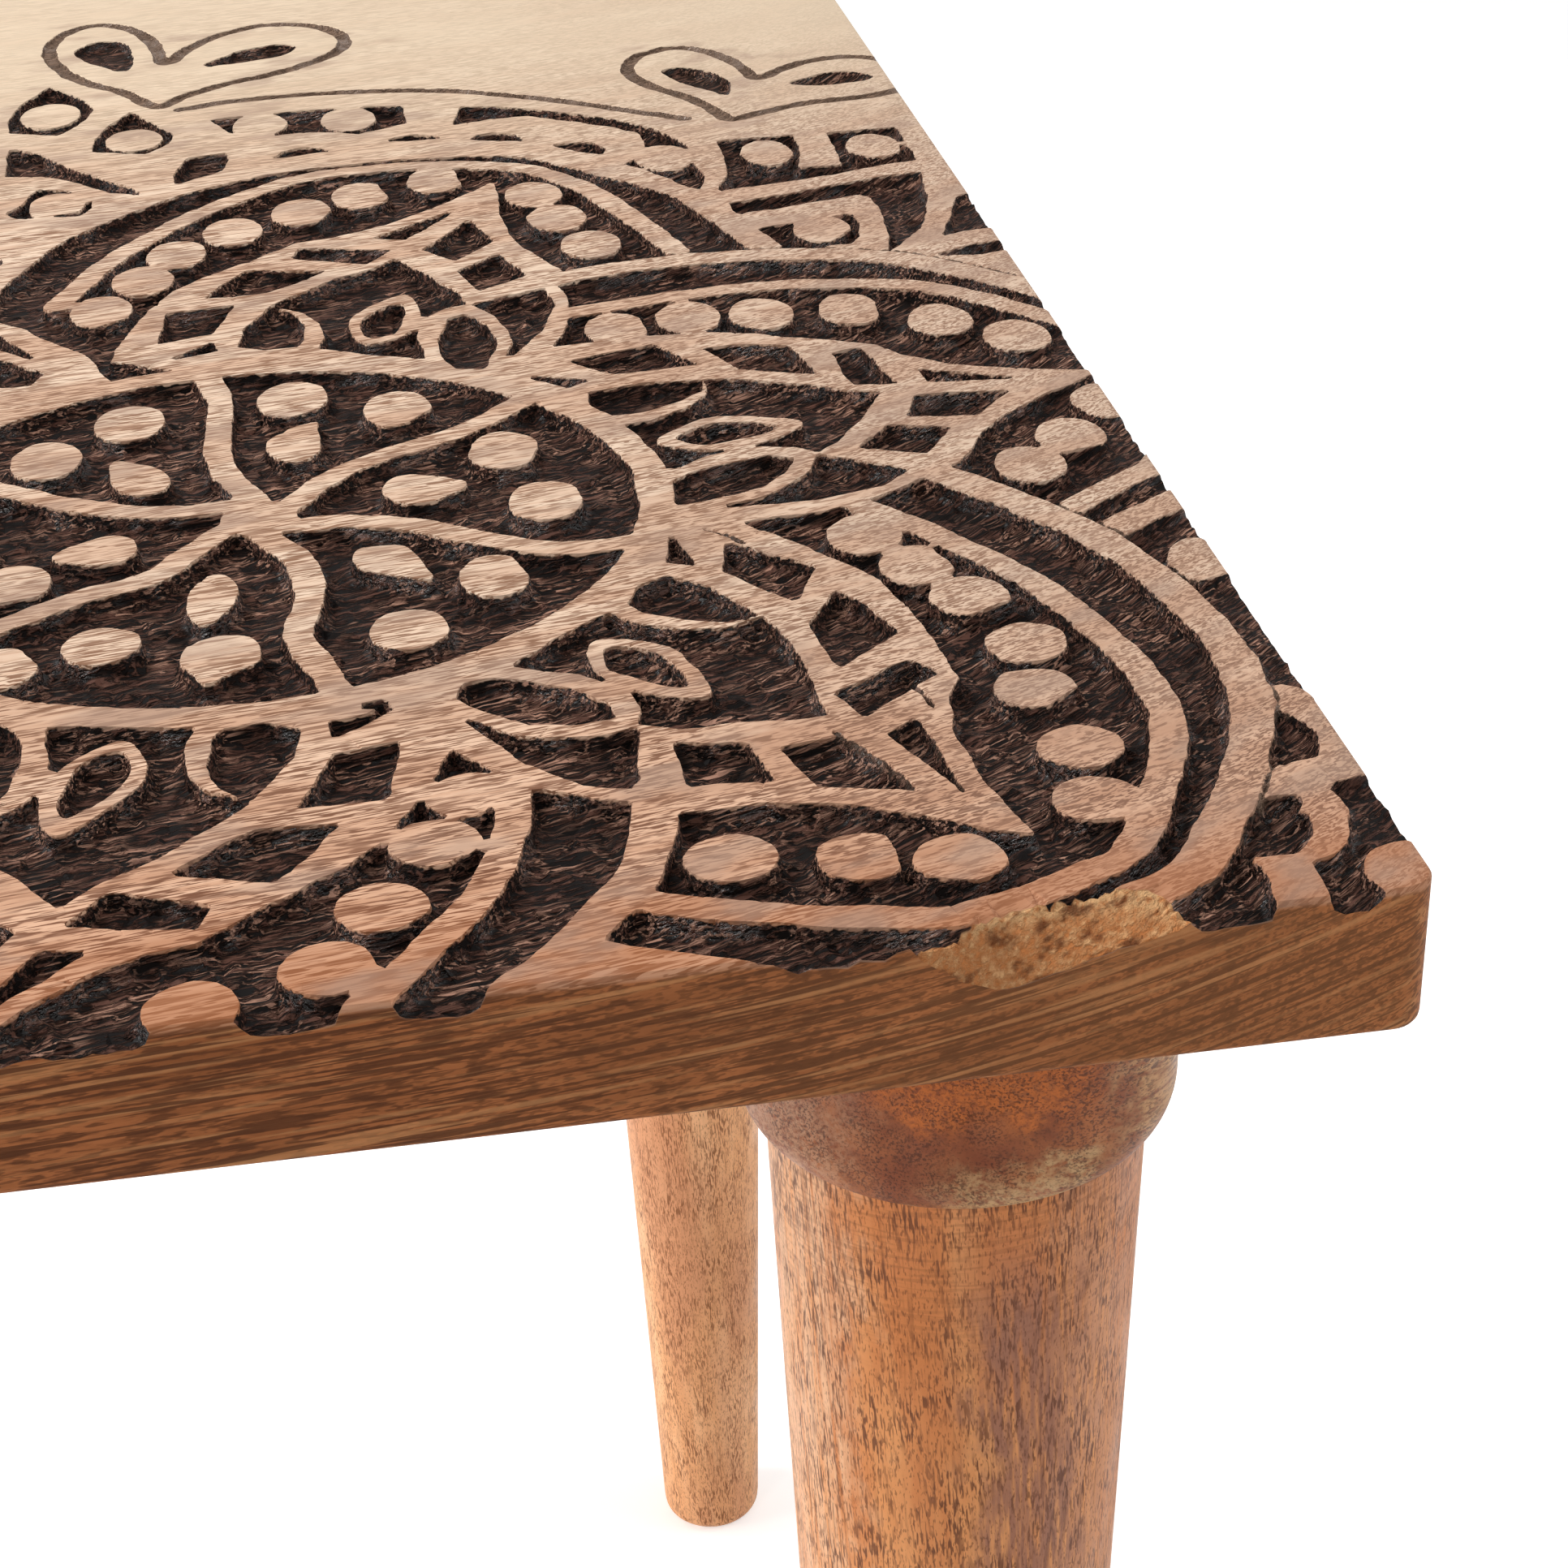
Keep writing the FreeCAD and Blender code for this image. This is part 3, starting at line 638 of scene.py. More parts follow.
# The two petals that the photograph doesn't reach repeat the one nearest the corner, a little stretched so
# that they meet their neighbours
BACK_LEFT_PETAL = Petal(132, CORNER_PETAL.outer, CORNER_PETAL.inner, CORNER_PETAL.dots, scale=(1.05, 1.04))
LEFT_PETAL = Petal(194, CORNER_PETAL.outer, CORNER_PETAL.inner, CORNER_PETAL.dots, scale=(1.0, 1.08))


@dataclass(frozen=True)
class Rosette:
    """Round middle of the mandala: a ring, a hub and six curved spokes with dots and drops between them."""

    middle: tuple[float, float] = (0.5, -1.0)
    ring_radius: float = 69.4
    ring_width: float = 6.4
    spoke_width: float = 5.3
    hub_at: tuple[float, float] = (4.0, -1.0)
    hub_radius: float = 7.0
    spokes: tuple[Points, ...] = (
        ((3, 6), (-2, 20), (-3.5, 31), (-3, 43), (-3, 53), (-6, 68)),
        ((6, 1), (10, 5), (16, 14), (25, 21.5), (34, 26), (42, 31.5), (50.5, 40.5), (54, 45)),
        ((5, -3), (9, -4.5), (18, -5), (28, -8.5), (37, -15), (46, -21), (52, -23.5), (59.5, -24), (65, -23)),
        ((4, -5), (5, -9.5), (9.5, -18.5), (11, -28), (10.5, -37), (9, -46), (11.5, -56), (15, -68)),
        ((2, -1), (-2, -4), (-8, -12), (-14, -20.5), (-24, -24.5), (-32, -29.5), (-40, -36), (-46, -43),
         (-50, -50)),
        ((3, 3), (-0.5, 5.5), (-9.5, 5), (-18.5, 7), (-29.5, 13), (-38.5, 20), (-48, 26), (-60, 31)),
    )
    dots: Dots = (
        (10, 51, 6.5, 8.7), (28.5, 42, 6.2, 8.7), (46, 19, 6.5, 8.3), (51, -4, 6.5, 8), (26, -48, 6.3, 7.3),
        (-21, -43.5, 6.4, 6.6), (-35.5, -18, 6.0, 7.2), (-19, 46, 6.5, 8.5), (-33, 32, 6.4, 8.6),
        (40.5, -31.5, 5.9, 8), (-46, -3, 6.2, 7.4), (-47, 14, 6.0, 7.4), (-36, -48, 6.0, 7.0),
    )
    drops: tuple[Points, ...] = (
        ((14, 39.5), (8.5, 36.5), (5, 31), (6, 25), (10, 21.5), (14.2, 25), (14.6, 31), (14.3, 36)),
        ((38.5, 7), (33, 11), (27.5, 12), (24, 7), (25.5, 1.5), (30, -1), (35, 1), (38, 4)),
        ((30.5, -31), (24, -28), (19, -23.5), (18, -19), (20, -16.2), (26, -16.4), (28.5, -20), (30.3, -26)),
        ((-5, -40), (-8, -35), (-8, -27), (-5.5, -22), (-2.5, -21.5), (0, -26), (-0.6, -33)),
        ((-2.5, -44), (1.5, -45), (3.4, -49), (3, -54), (-1, -57.5), (-5, -60), (-8, -55), (-9, -50),
         (-7, -45.5)),
        ((-30.5, -9), (-26, -4.5), (-21, -2), (-17, -4.5), (-16.5, -10), (-20, -14), (-26, -13)),
        ((-21.5, 29.5), (-22, 22), (-20, 15.5), (-15, 13), (-11.3, 16), (-12, 22), (-16, 27)),
    )

    def carve(self, ground: CarvedField) -> None:
        """Cuts the disc to the ground and raises what stands in it."""
        around = np.linspace(0, 2 * math.pi, 60, endpoint=False)
        circle = np.stack([np.cos(around), np.sin(around)], 1)
        ground.shape(self.middle + circle * (self.ring_radius - self.ring_width / 2), Tool.CUT)
        ground.stroke(self.middle + circle * self.ring_radius, self.ring_width, closed=True)
        for spoke in self.spokes:
            ground.stroke(spoke, self.spoke_width)
        ground.dot(self.hub_at, self.hub_radius, self.hub_radius)
        for x, y, half_width, half_height in self.dots:
            ground.dot((x, y), half_width, half_height)
        for drop in self.drops:
            ground.shape(drop, smooth=True)


@dataclass(frozen=True)
class Border:
    """Cells, dots, grooves and loops outside the petals: those over a petal, those between two petals and
    those at the near corner. The turns carry a group from where the photograph shows it to the other
    petals."""

    turns: tuple[float, ...] = (0.0, 61.0, 122.0)
    groove_width: float = 3.0
    bud_width: float = 3.2
    line_depth: float = 1.0
    bud_hole_depth: float = 2.2
    over_petal: tuple[Points, ...] = (
        ((-5, 229), (5, 230.5), (20, 231), (32, 230.5), (39.3, 229), (39, 215), (33, 212), (28, 209.5),
         (22, 212.5), (15, 214), (8, 213), (3, 214), (-1, 218)),
        ((52.5, 225), (60, 223), (70, 218), (80, 212), (88.8, 203.8), (95, 196), (98.4, 188.8), (100, 182),
         (100, 168), (101.3, 162), (99.4, 153.8), (97.5, 150), (93.8, 160), (88.8, 168), (85, 172.5),
         (88, 176), (91, 182), (91.5, 188), (90.6, 195), (86, 200), (80, 205), (72.5, 210), (67.5, 214),
         (58.8, 213.8), (50, 211)),
        ((9, 196), (11, 200.5), (15.5, 202.5), (19.5, 201), (21, 198.5)),
        ((34, 202), (37, 205), (41, 205.8), (45.5, 203.5), (46.5, 201.5)),
        ((53, 199), (55, 202), (59, 202.8), (63, 200), (65.5, 194.8), (62, 196)),
        ((70, 190.5), (76, 190.8), (80, 189.5), (82, 185), (81, 181), (76, 184.5)),
        ((-10, 201), (-1.9, 202.5), (-1.3, 197.5), (-2.5, 190), (-12.5, 182.5), (-13.1, 188.8), (-11.9, 195)),
    )
    over_petal_dots: Dots = ((6, 222, 6.5, 9), (26.3, 221.5, 6.5, 9.5), (94.2, 175, 6.4, 9.6))
    groove: Points = ((-12.5, 239), (0, 243), (20, 244), (40, 241.5), (52.5, 237.5), (66, 230), (77.5, 222.5),
                      (92, 211), (102.5, 202.5))
    between_left: tuple[Points, ...] = (
        ((-43.8, 265.6), (-50, 251), (-51.9, 238.8), (-51.3, 230), (-40, 225.6), (-36, 232.5), (-32.5, 245),
         (-36.3, 255)),
        ((-23.8, 240), (-28.8, 230), (-31.3, 220), (-31.3, 211.3), (-20, 206.3), (-15, 213), (-13.8, 220),
         (-17.5, 227.5)),
        ((-42.5, 186), (-36, 184), (-30.6, 176), (-30, 171), (-33, 166), (-46, 167.5), (-48, 171),
         (-45, 177.5)),
        ((-50, 218), (-43.8, 212.5), (-38.8, 203.8), (-31.3, 193.8), (-22.5, 182.5), (-19.4, 176.9),
         (-26.3, 180), (-35, 190), (-41.3, 195), (-50, 197.5)),
    )
    between_left_dots: Dots = ((-42.5, 241.5, 7, 10), (-22.5, 217.5, 6.5, 8.5), (-37.8, 174, 6.3, 8.6))
    between_right: tuple[Points, ...] = (
        ((107.5, 184.4), (125, 184.4), (124, 172), (122, 160.8), (148, 161), (147, 160), (140, 158.8),
         (127.5, 154.4), (115, 151.9), (102.5, 150), (106, 160), (107.5, 172)),
        ((132.5, 184.4), (148.1, 184.4), (147.8, 160.6), (131.5, 160.6), (132.5, 172)),
        ((103.8, 141), (115, 143.5), (127.5, 147.5), (140, 151), (146.9, 151.8), (146.3, 143.8), (145, 135),
         (141.9, 122.5), (138.8, 115), (132.5, 105), (131, 103.8), (133.1, 113.8), (133.8, 128.8),
         (133.5, 137.5), (131.3, 140), (121.3, 137.5), (112.5, 135), (103.8, 133.8)),
        ((106.3, 123), (113.8, 125), (125, 127.5), (127.5, 128.8), (128, 122.5), (126.3, 113.8), (123.8, 110),
         (115, 110), (108, 110.6), (106.3, 116)),
        ((160, 141), (160, 114), (148, 112), (143.5, 110), (147.5, 122), (151, 133)),
        ((160, 106), (149, 103.5), (139, 99.5), (149, 97.5), (160, 101)),
    )
    between_right_dots: Dots = ((116.9, 173, 5.8, 9.3), (140.6, 172.5, 6.2, 8.8), (120, 120, 6.2, 8.4))
    buds: tuple[Points, ...] = (
        ((112.5, 199.4), (110.7, 205), (105.4, 218.8), (98, 230), (94.4, 241), (95.2, 250.4), (100, 258),
         (108.8, 261), (116.5, 253.3), (121, 242), (123.5, 230.5), (131.4, 237.4), (140.7, 242.6), (150, 242),
         (157.5, 236), (160.5, 226), (158, 216), (151, 211), (142.3, 209), (131, 207.6), (121, 203.4)),
        ((-17.9, 243), (-26.2, 257.3), (-36.2, 269), (-42.2, 281.8), (-45.3, 296), (-43, 312), (-34.4, 320),
         (-25.5, 313), (-20, 299.6), (-16.5, 280), (-11.1, 291.4), (-3.3, 302), (7.2, 308.5), (18.5, 306),
         (26, 297), (27.5, 285.6), (23.2, 275.5), (11.8, 265), (-1.2, 258), (-11.7, 249.9)),
    )
    bud_holes: tuple[Points, ...] = (
        ((101.9, 240.9), (104.5, 243.5), (108.7, 243), (114.1, 237.7), (116.3, 228), (114.6, 219),
         (111.3, 223), (106.2, 230.1)),
        ((130.3, 223.8), (137.9, 229.4), (145.5, 230.4), (150.5, 225), (145.3, 221.5), (136.8, 220.8)),
        ((-38.9, 296), (-35.5, 302.5), (-31, 303.8), (-26, 299), (-24.6, 286), (-25.7, 275.8), (-30.7, 279.6),
         (-35.7, 286)),
        ((-7, 274.9), (-2.1, 282.3), (4, 287.2), (11.5, 290), (15.3, 286), (12, 279.5), (3, 276)),
    )
    corner_ground: Points = (
        (102, -22), (112, -28), (121, -32), (129, -37), (136, -43), (141, -50), (145, -60), (147.6, -70.5),
        (147.6, -92), (146, -100), (144.4, -107), (142.4, -114), (140, -120.4), (137, -126.6),
        (134.6, -130.6), (132.4, -134), (129, -138), (125.8, -141.8), (122, -145.5), (118, -149), (114, -152),
        (112, -162), (168, -162), (168, -18), (140, -18))
    corner_cloud: Points = (
        (147.6, -92.6), (150.6, -93.2), (153.1, -95), (155, -99), (165, -99), (165, -121), (154.5, -121.5),
        (152.4, -122.5), (149.4, -123.3), (148.1, -125), (148.9, -127.7), (149.1, -130.5), (147.3, -135.5),
        (145.5, -139.4), (143.5, -141.6), (140.7, -142.3), (139.6, -142.9), (139.4, -146.2), (139.5, -149.3),
        (139.4, -165), (131.5, -165), (131.9, -149.2), (132.6, -146.3), (132.5, -143.1), (131.9, -140.9),
        (131.5, -138.5), (135, -131), (140.6, -120), (144.8, -107), (146.6, -100))
    corner_holes: tuple[Points, ...] = (
        ((145.6, -100.7), (147.9, -101.6), (149.9, -105.1), (151, -108.3), (150.4, -112.6), (149.2, -115.2),
         (146.3, -116.2), (143.7, -116.9), (142, -116)),
        ((138.9, -125.4), (143.4, -125.2), (142.6, -127.8), (141, -129.2), (142.6, -130.7), (141.6, -135.4),
         (139.8, -138.2), (137.6, -139.9), (133, -140.2), (131.8, -138.7), (132.8, -133.5), (136.1, -129.3)),
    )
    corner_dots: Dots = ((151.6, -50.2, 5.6, 8.6), (152.7, -147.4, 7.4, 7.6))

    def cut(self, ground: CarvedField, cells: tuple[Points, ...], dots: Dots, turn: float) -> None:
        """Cuts a group of cells and raises its dots, turned about the mandala's middle.

        Args:
            ground: field to carve.
            cells: outlines of the cells.
            dots: middle, half width and half height of each dot.
            turn: degrees from where the photograph shows the group.
        """
        for cell in cells:
            ground.shape(turned(cell, turn), Tool.CUT)
        for x, y, half_width, half_height in dots:
            ground.dot(turned(((x, y),), turn)[0], half_width, half_height)

    def carve(self, ground: CarvedField) -> None:
        """Cuts the border all round: once where the photograph shows it, and turned for the petals that it
        doesn't reach."""
        ground.shape(self.corner_ground, Tool.CUT)
        ground.shape(self.corner_cloud)
        for hole in self.corner_holes:
            ground.shape(hole, Tool.CUT)
        for x, y, half_width, half_height in self.corner_dots:
            ground.dot((x, y), half_width, half_height)
        for turn in self.turns:
            self.cut(ground, self.over_petal, self.over_petal_dots, turn)
            self.cut(ground, self.between_left, self.between_left_dots, turn)
            ground.stroke(turned(self.groove, turn), self.groove_width, Tool.CUT, depth=self.line_depth)
            for bud in self.buds:
                ground.stroke(turned(bud, turn), self.bud_width, Tool.CUT, closed=True, depth=self.line_depth)
            for hole in self.bud_holes:
                ground.shape(turned(hole, turn), Tool.CUT, smooth=True, depth=self.bud_hole_depth)
        self.cut(ground, self.between_right, self.between_right_dots, 0.0)


@dataclass(frozen=True)
class Mandala:
    """The whole carving of the board's upper face."""

    petals: tuple[Petal, ...] = (CORNER_PETAL, RIGHT_PETAL, BACK_PETAL, FRONT_PETAL, BACK_LEFT_PETAL,
                                 LEFT_PETAL)
    scored: tuple[Petal, ...] = (CORNER_PETAL, RIGHT_PETAL)
    rosette: Rosette = field(default_factory=Rosette)
    border: Border = field(default_factory=Border)
    slit_width: float = 0.6
    slit_depth: float = 1.8
    slits: tuple[Points, ...] = (
        ((84.2, -93.9), (88.4, -102.2), (92.2, -113.0)),
        ((96.7, -96.6), (97.4, -106.5), (98.6, -115.2)),
        ((97.5, -82.0), (99.2, -86.5), (99.6, -90.0)),
        ((75.5, -21.5), (78.9, -24.8), (81.0, -28.5)),
    )

    def carve(self, ground: CarvedField) -> None:
        """Cuts the ground of the petals and the border, raises bands and leaves, then cuts the knife's lines
        and the slits where it slipped past a corner, carves the rosette and raises the petals' dots last."""
        for petal in self.petals:
            petal.clear(ground)
        self.border.carve(ground)
        for petal in self.petals:
            petal.carve(ground)
        for petal in self.scored:
            petal.score(ground)
        for slit in self.slits:
            ground.stroke(slit, self.slit_width, Tool.CUT, depth=self.slit_depth)
        self.rosette.carve(ground)
        for petal in self.petals:
            petal.carve_dots(ground)


class Grain:
    """Patterns of one piece of wood, drawn in millimetres and stretched along its fibres.

    Args:
        tree: node tree of the material.
        place: coordinates in metres.
        along: axis that the fibres follow, 0 for x, 1 for y, 2 for z.
        tilt: turn of the fibres about x, y and z, in degrees.
    """

    def __init__(self, tree: bpy.types.NodeTree, place: Look, along: int,
                 tilt: tuple[float, float, float]) -> None:
        self.tree = tree
        self.along = along
        values = {"Scale": (1 / MM, 1 / MM, 1 / MM), "Rotation": tuple(math.radians(angle) for angle in tilt)}
        self.place = add(tree, "ShaderNodeMapping", values, {"Vector": place}).outputs[0]

    def marks(self, size: tuple[float, float], band: tuple[float, float], strength: float = 1.0,
              **look: float) -> Look:
        """Marks that fade in over a band of a stretched noise.

        Args:
            size: length along the fibres and width across them, in millimetres.
            band: values of the noise where a mark starts and where it is full.
            strength: how strong a full mark is.
            **look: the noise's detail, roughness and distortion.

        Returns:
            A mask.
        """
        scale = tuple(1 / size[0] if axis == self.along else 1 / size[1] for axis in range(3))
        at = add(self.tree, "ShaderNodeVectorMath", {1: scale}, {0: self.place},
                 operation="MULTIPLY").outputs[0]
        noise_look = {"Scale": 1.0, "Detail": 2.0, **look}
        noise = add(self.tree, "ShaderNodeTexNoise", noise_look, {"Vector": at}).outputs[0]
        values = {1: band[0], 2: band[1], 3: 0.0, 4: strength}
        return add(self.tree, "ShaderNodeMapRange", values, {0: noise},
                   interpolation_type="SMOOTHSTEP").outputs[0]

    def lay(self, under: str | Look, over: str | Look, mask: Look) -> Look:
        """Lays one colour over another where the mask is 1; each is a hex colour or a socket."""
        values, links = {}, {"Factor": mask}
        for number, colour in ((6, under), (7, over)):
            if isinstance(colour, str):
                values[number] = linear(colour)
            else:
                links[number] = colour
        return add(self.tree, "ShaderNodeMix", values, links, data_type="RGBA").outputs[2]

    def ramp(self, source: Look, start: float, end: float) -> Look:
        """Mask that rises from 0 where the source has its start value to 1 at its end value, which may be the
        smaller one."""
        low, high, flip = min(start, end), max(start, end), start > end
        values = {1: low, 2: high, 3: float(flip), 4: float(not flip)}
        return add(self.tree, "ShaderNodeMapRange", values, {0: source},
                   interpolation_type="SMOOTHSTEP").outputs[0]

    def combine(self, operation: str, first: float | Look, second: float | Look) -> Look:
        """Result of one operation on two masks or numbers."""
        values, links = {}, {}
        for number, side in enumerate((first, second)):
            (values if isinstance(side, float) else links)[number] = side
        return add(self.tree, "ShaderNodeMath", values, links, operation=operation).outputs[0]

    def blend(self, under: Look, over: Look, mask: Look) -> Look:
        """Value of one mask, and of another where the third is 1."""
        links = {"Factor": mask, "A": under, "B": over}
        return add(self.tree, "ShaderNodeMix", {}, links, data_type="FLOAT").outputs[0]

    def both(self, first: Look, second: Look) -> Look:
        """Product of two masks."""
        return self.combine("MULTIPLY", first, second)


@dataclass(frozen=True)
class CarvedWood:
    """Mango wood, chip carved, stained near black in the ground and sanded bare on top. Bare faces are warm
    tan with fine dark pore dashes along x, cream towards the back. The sawn sides are a deeper brown. The
    ground keeps the gouge's torn fibres, paler on their crests, which is partly dry fibre and partly painted
    highlight on ridges, and wet-looking where the stain pooled at the foot of the walls, which gives it small
    glints. Painted shade greys the face towards the right edge, and painted highlight pales the bark pocket
    towards its upper rim."""

    tan: str = "#D8AC8E"
    tan_figure: str = "#B8886A"
    tan_dash: str = "#6C4430"
    cream: str = "#DEC4AC"
    cream_figure: str = "#C8A48A"
    cream_dash: str = "#846049"
    far: str = "#D4C0A6"
    side: str = "#A4643C"
    side_figure: str = "#86502E"
    side_dash: str = "#54301C"
    side_streak: str = "#BE8658"
    # greyish brown: stain haze in the clouds that crept onto the face, and painted shade towards the right
    # edge
    stain_haze_and_painted_shade: str = "#9C8170"
    stain: str = "#0A0504"
    # mid and pale tones of the ground: partly dry fibre, partly painted light on its ridges
    fibre_tone_and_painted_light: str = "#583B31"
    crest_tone_and_painted_highlight: str = "#AC826E"
    groove: str = "#7E6655"
    pocket: str = "#B87443"
    # pale crumbs, and also the painted highlight of the pocket's upper rim
    pocket_crumb_and_highlight: str = "#DFB07E"
    pocket_crack: str = "#6A3A20"

    def material(self) -> bpy.types.Material:
        """Blends plain wood and stained ground by the attributes that the mesh carries.

        Returns:
            The material.
        """
        material, tree, output = blank_material("mango_wood_carved_and_stained")
        place = add(tree, "ShaderNodeTexCoord").outputs["Object"]
        parts = add(tree, "ShaderNodeSeparateXYZ", {}, {0: place})
        stands, depth, pocket = (add(tree, "ShaderNodeAttribute", attribute_name=name).outputs["Fac"]
                                 for name in ("stands", "depth", "pocket"))
        # the fibres run along x and bend back and up near the right edge, 20 mm times the cube of the share
        # of the way from x = 0.1 m to the edge
        beyond = add(tree, "ShaderNodeMapRange", {1: 0.1, 2: 0.254}, {0: parts.outputs["X"]}).outputs[0]
        cube = add(tree, "ShaderNodeMath", {1: 3.0}, {0: beyond}, operation="POWER").outputs[0]
        # those of the front and back faces stay in the face, so that their lines run long
        grains = []
        for bend, tilt in (((0.0, 0.02, 0.02), (0.0, 4.0, -9.0)), ((0.0, 0.0, 0.02), (0.0, 4.0, 0.0))):
            shift = add(tree, "ShaderNodeVectorMath", {0: bend}, {"Scale": cube},
                        operation="SCALE").outputs[0]
            fibres = add(tree, "ShaderNodeVectorMath", {}, {0: place, 1: shift},
                         operation="SUBTRACT").outputs[0]
            grains.append(Grain(tree, fibres, 0, tilt))
        grain, side_grain = grains
        # bare wood: figure 80 by 11 mm, streaks 26 by 1.1 mm, pore dashes 6 by 0.4 mm and dark lines 17 by
        # 0.8 mm
        figure = grain.marks((80, 11), (0.38, 0.64), Detail=4.0, Roughness=0.6)
        streak = grain.marks((26, 1.1), (0.46, 0.7), 0.7, Detail=3.0)
        dash = grain.marks((6, 0.4), (0.49, 0.58), 0.95, Detail=1.0)
        dash = grain.both(dash, grain.marks((22, 7), (0.26, 0.52)))
        fleck = grain.marks((17, 0.8), (0.52, 0.62), 0.75, Detail=2.0)
        back = grain.ramp(parts.outputs["Y"], -0.25, -0.12)
        low = grain.ramp(parts.outputs["Z"], 0.5076, 0.5063)
        base = grain.lay(grain.lay(self.tan, self.cream, back), self.side, low)
        toned = grain.lay(grain.lay(self.tan_figure, self.cream_figure, back), self.side_figure, low)
        dashed = grain.lay(grain.lay(self.tan_dash, self.cream_dash, back), self.side_dash, low)
        wood = grain.lay(grain.lay(base, toned, figure), toned, streak)
        upper = grain.ramp(parts.outputs["Z"], 0.5063, 0.5076)
        calm = add(tree, "ShaderNodeMapRange", {3: 0.6, 4: 1.0}, {0: upper}).outputs[0]
        wood = grain.lay(grain.lay(wood, dashed, grain.both(dash, calm)), dashed, fleck)
        # the sides have fewer dashes, and show pale streaks 45 by 1.3 mm and dark vessel lines 24 by 0.7 mm
        side_streak = side_grain.marks((45, 1.3), (0.5, 0.68), 0.55, Detail=3.0)
        side_line = side_grain.marks((24, 0.7), (0.52, 0.58), 0.85, Detail=2.0)
        wood = grain.lay(wood, self.side_streak, grain.both(low, side_streak))
        wood = grain.lay(wood, self.side_dash, grain.both(low, side_line))
        # the face is paler at the back, painted shade makes it greyer towards the right edge, and it is
        # browner within 32 mm of the front edge; the sides grow paler to the right
        for region, colour, way, start, end, size, strength in (
            (upper, self.stain_haze_and_painted_shade, "X", 0.13, 0.24, (60, 40), 0.3),
            (upper, self.far, "Y", 0.04, 0.2, (90, 60), 0.8),
            (upper, self.side, "Y", -0.222, -0.25, (60, 20), 0.5),
            (low, self.side_streak, "X", 0.1, 0.24, (50, 12), 0.14),
        ):
            zone = grain.both(region, grain.ramp(parts.outputs[way], start, end))
            wood = grain.lay(wood, colour, grain.both(zone, grain.marks(size, (-0.5, 0.55), strength)))
        # stain that crept onto the carved part of the face, in clouds 22 by 12 mm
        creep = grain.both(grain.ramp(stands, 6.0, 4.0), grain.marks((22, 12), (0.5, 0.68), 0.55, Detail=3.0))
        wood = grain.lay(wood, self.stain_haze_and_painted_shade, creep)
        # ground: torn fibres 6 by 0.8 mm with crests 9 by 0.6 mm. Their paler tones are partly dry fibre and
        # partly painted highlight on ridges that the mesh is too coarse to shade
        fibre_and_painted_light = grain.marks((6, 0.8), (0.44, 0.62), Detail=3.0, Roughness=0.6, Distortion=0.6)
        crest_and_painted_highlight = grain.marks((9, 0.6), (0.52, 0.61), 0.95, Detail=2.0, Distortion=0.4)
        crest_and_painted_highlight = grain.both(crest_and_painted_highlight, grain.marks((14, 7), (0.38, 0.6)))
        stained = grain.lay(grain.lay(self.stain, self.fibre_tone_and_painted_light, fibre_and_painted_light), self.crest_tone_and_painted_highlight, crest_and_painted_highlight)
        stained = grain.lay(self.groove, stained, grain.ramp(depth, 0.3, 0.85))
        # the stain ends at each rim on a line 0.1 mm uneven, and at the bark pocket; flat wood between two
        # rims reads 0.3
        inside = grain.ramp(pocket, 0.2, 0.5)
        uneven = grain.combine("ADD", stands, grain.marks((2.5, 1.2), (0.4, 0.6), 0.1))
        ground = grain.both(grain.ramp(uneven, 0.298, 0.2), grain.ramp(pocket, 0.5, 0.2))
        colour = grain.lay(wood, stained, ground)
        # bark pocket: crumbs 1.2 by 1 mm and cracks 4 by 2.4 mm, and painted highlight that makes it paler
        # towards its upper rim, where it faces up
        crumb = grain.marks((1.2, 1.0), (0.32, 0.72), 0.75, Detail=4.0, Roughness=0.65)
        # painted highlight: the crumb colour also covers the pocket's upper rim
        pale = grain.combine("MAXIMUM", crumb, grain.ramp(parts.outputs["Z"], 0.5045, 0.5074))
        bark = grain.lay(self.pocket, self.pocket_crumb_and_highlight,
                         grain.both(pale, grain.marks((1.0, 1.0), (0.25, 0.6), Detail=3.0)))
        bark = grain.lay(bark, self.pocket_crack, grain.marks((4, 2.4), (0.52, 0.68), 0.85, Detail=4.0))
        colour = grain.lay(colour, bark, inside)
        # stain pooled within 1.6 mm of the foot of a wall dried to a beaded gloss
        wet = grain.both(grain.ramp(stands, -1.6, -0.3), grain.marks((12, 9), (0.47, 0.6), 0.6, Detail=2.0))
        gloss = grain.both(wet, ground)
        beads = grain.marks((1.0, 0.7), (0.3, 0.7), 0.7, Detail=2.0)
        torn = grain.blend(grain.combine("ADD", fibre_and_painted_light, crest_and_painted_highlight), beads, wet)
        bare = grain.blend(grain.combine("SUBTRACT", 1.0, dash), crumb, inside)
        fine = grain.blend(bare, torn, ground)
        carved = grain.combine("MAXIMUM", ground, inside)
        lift = add(tree, "ShaderNodeMapRange", {3: 0.12, 4: 1.0}, {0: carved}).outputs[0]
        bump = add(tree, "ShaderNodeBump", {"Distance": 0.0007},
                   {"Height": fine, "Strength": lift}).outputs[0]
        values = {"Roughness": 0.6, "Specular IOR Level": 0.08, "Coat Roughness": 0.2}
        links = {"Base Color": colour, "Coat Weight": gloss, "Normal": bump, "Coat Normal": bump}
        shader = add(tree, "ShaderNodeBsdfPrincipled", values, links)
        tree.links.new(shader.outputs[0], output.inputs["Surface"])
        return material


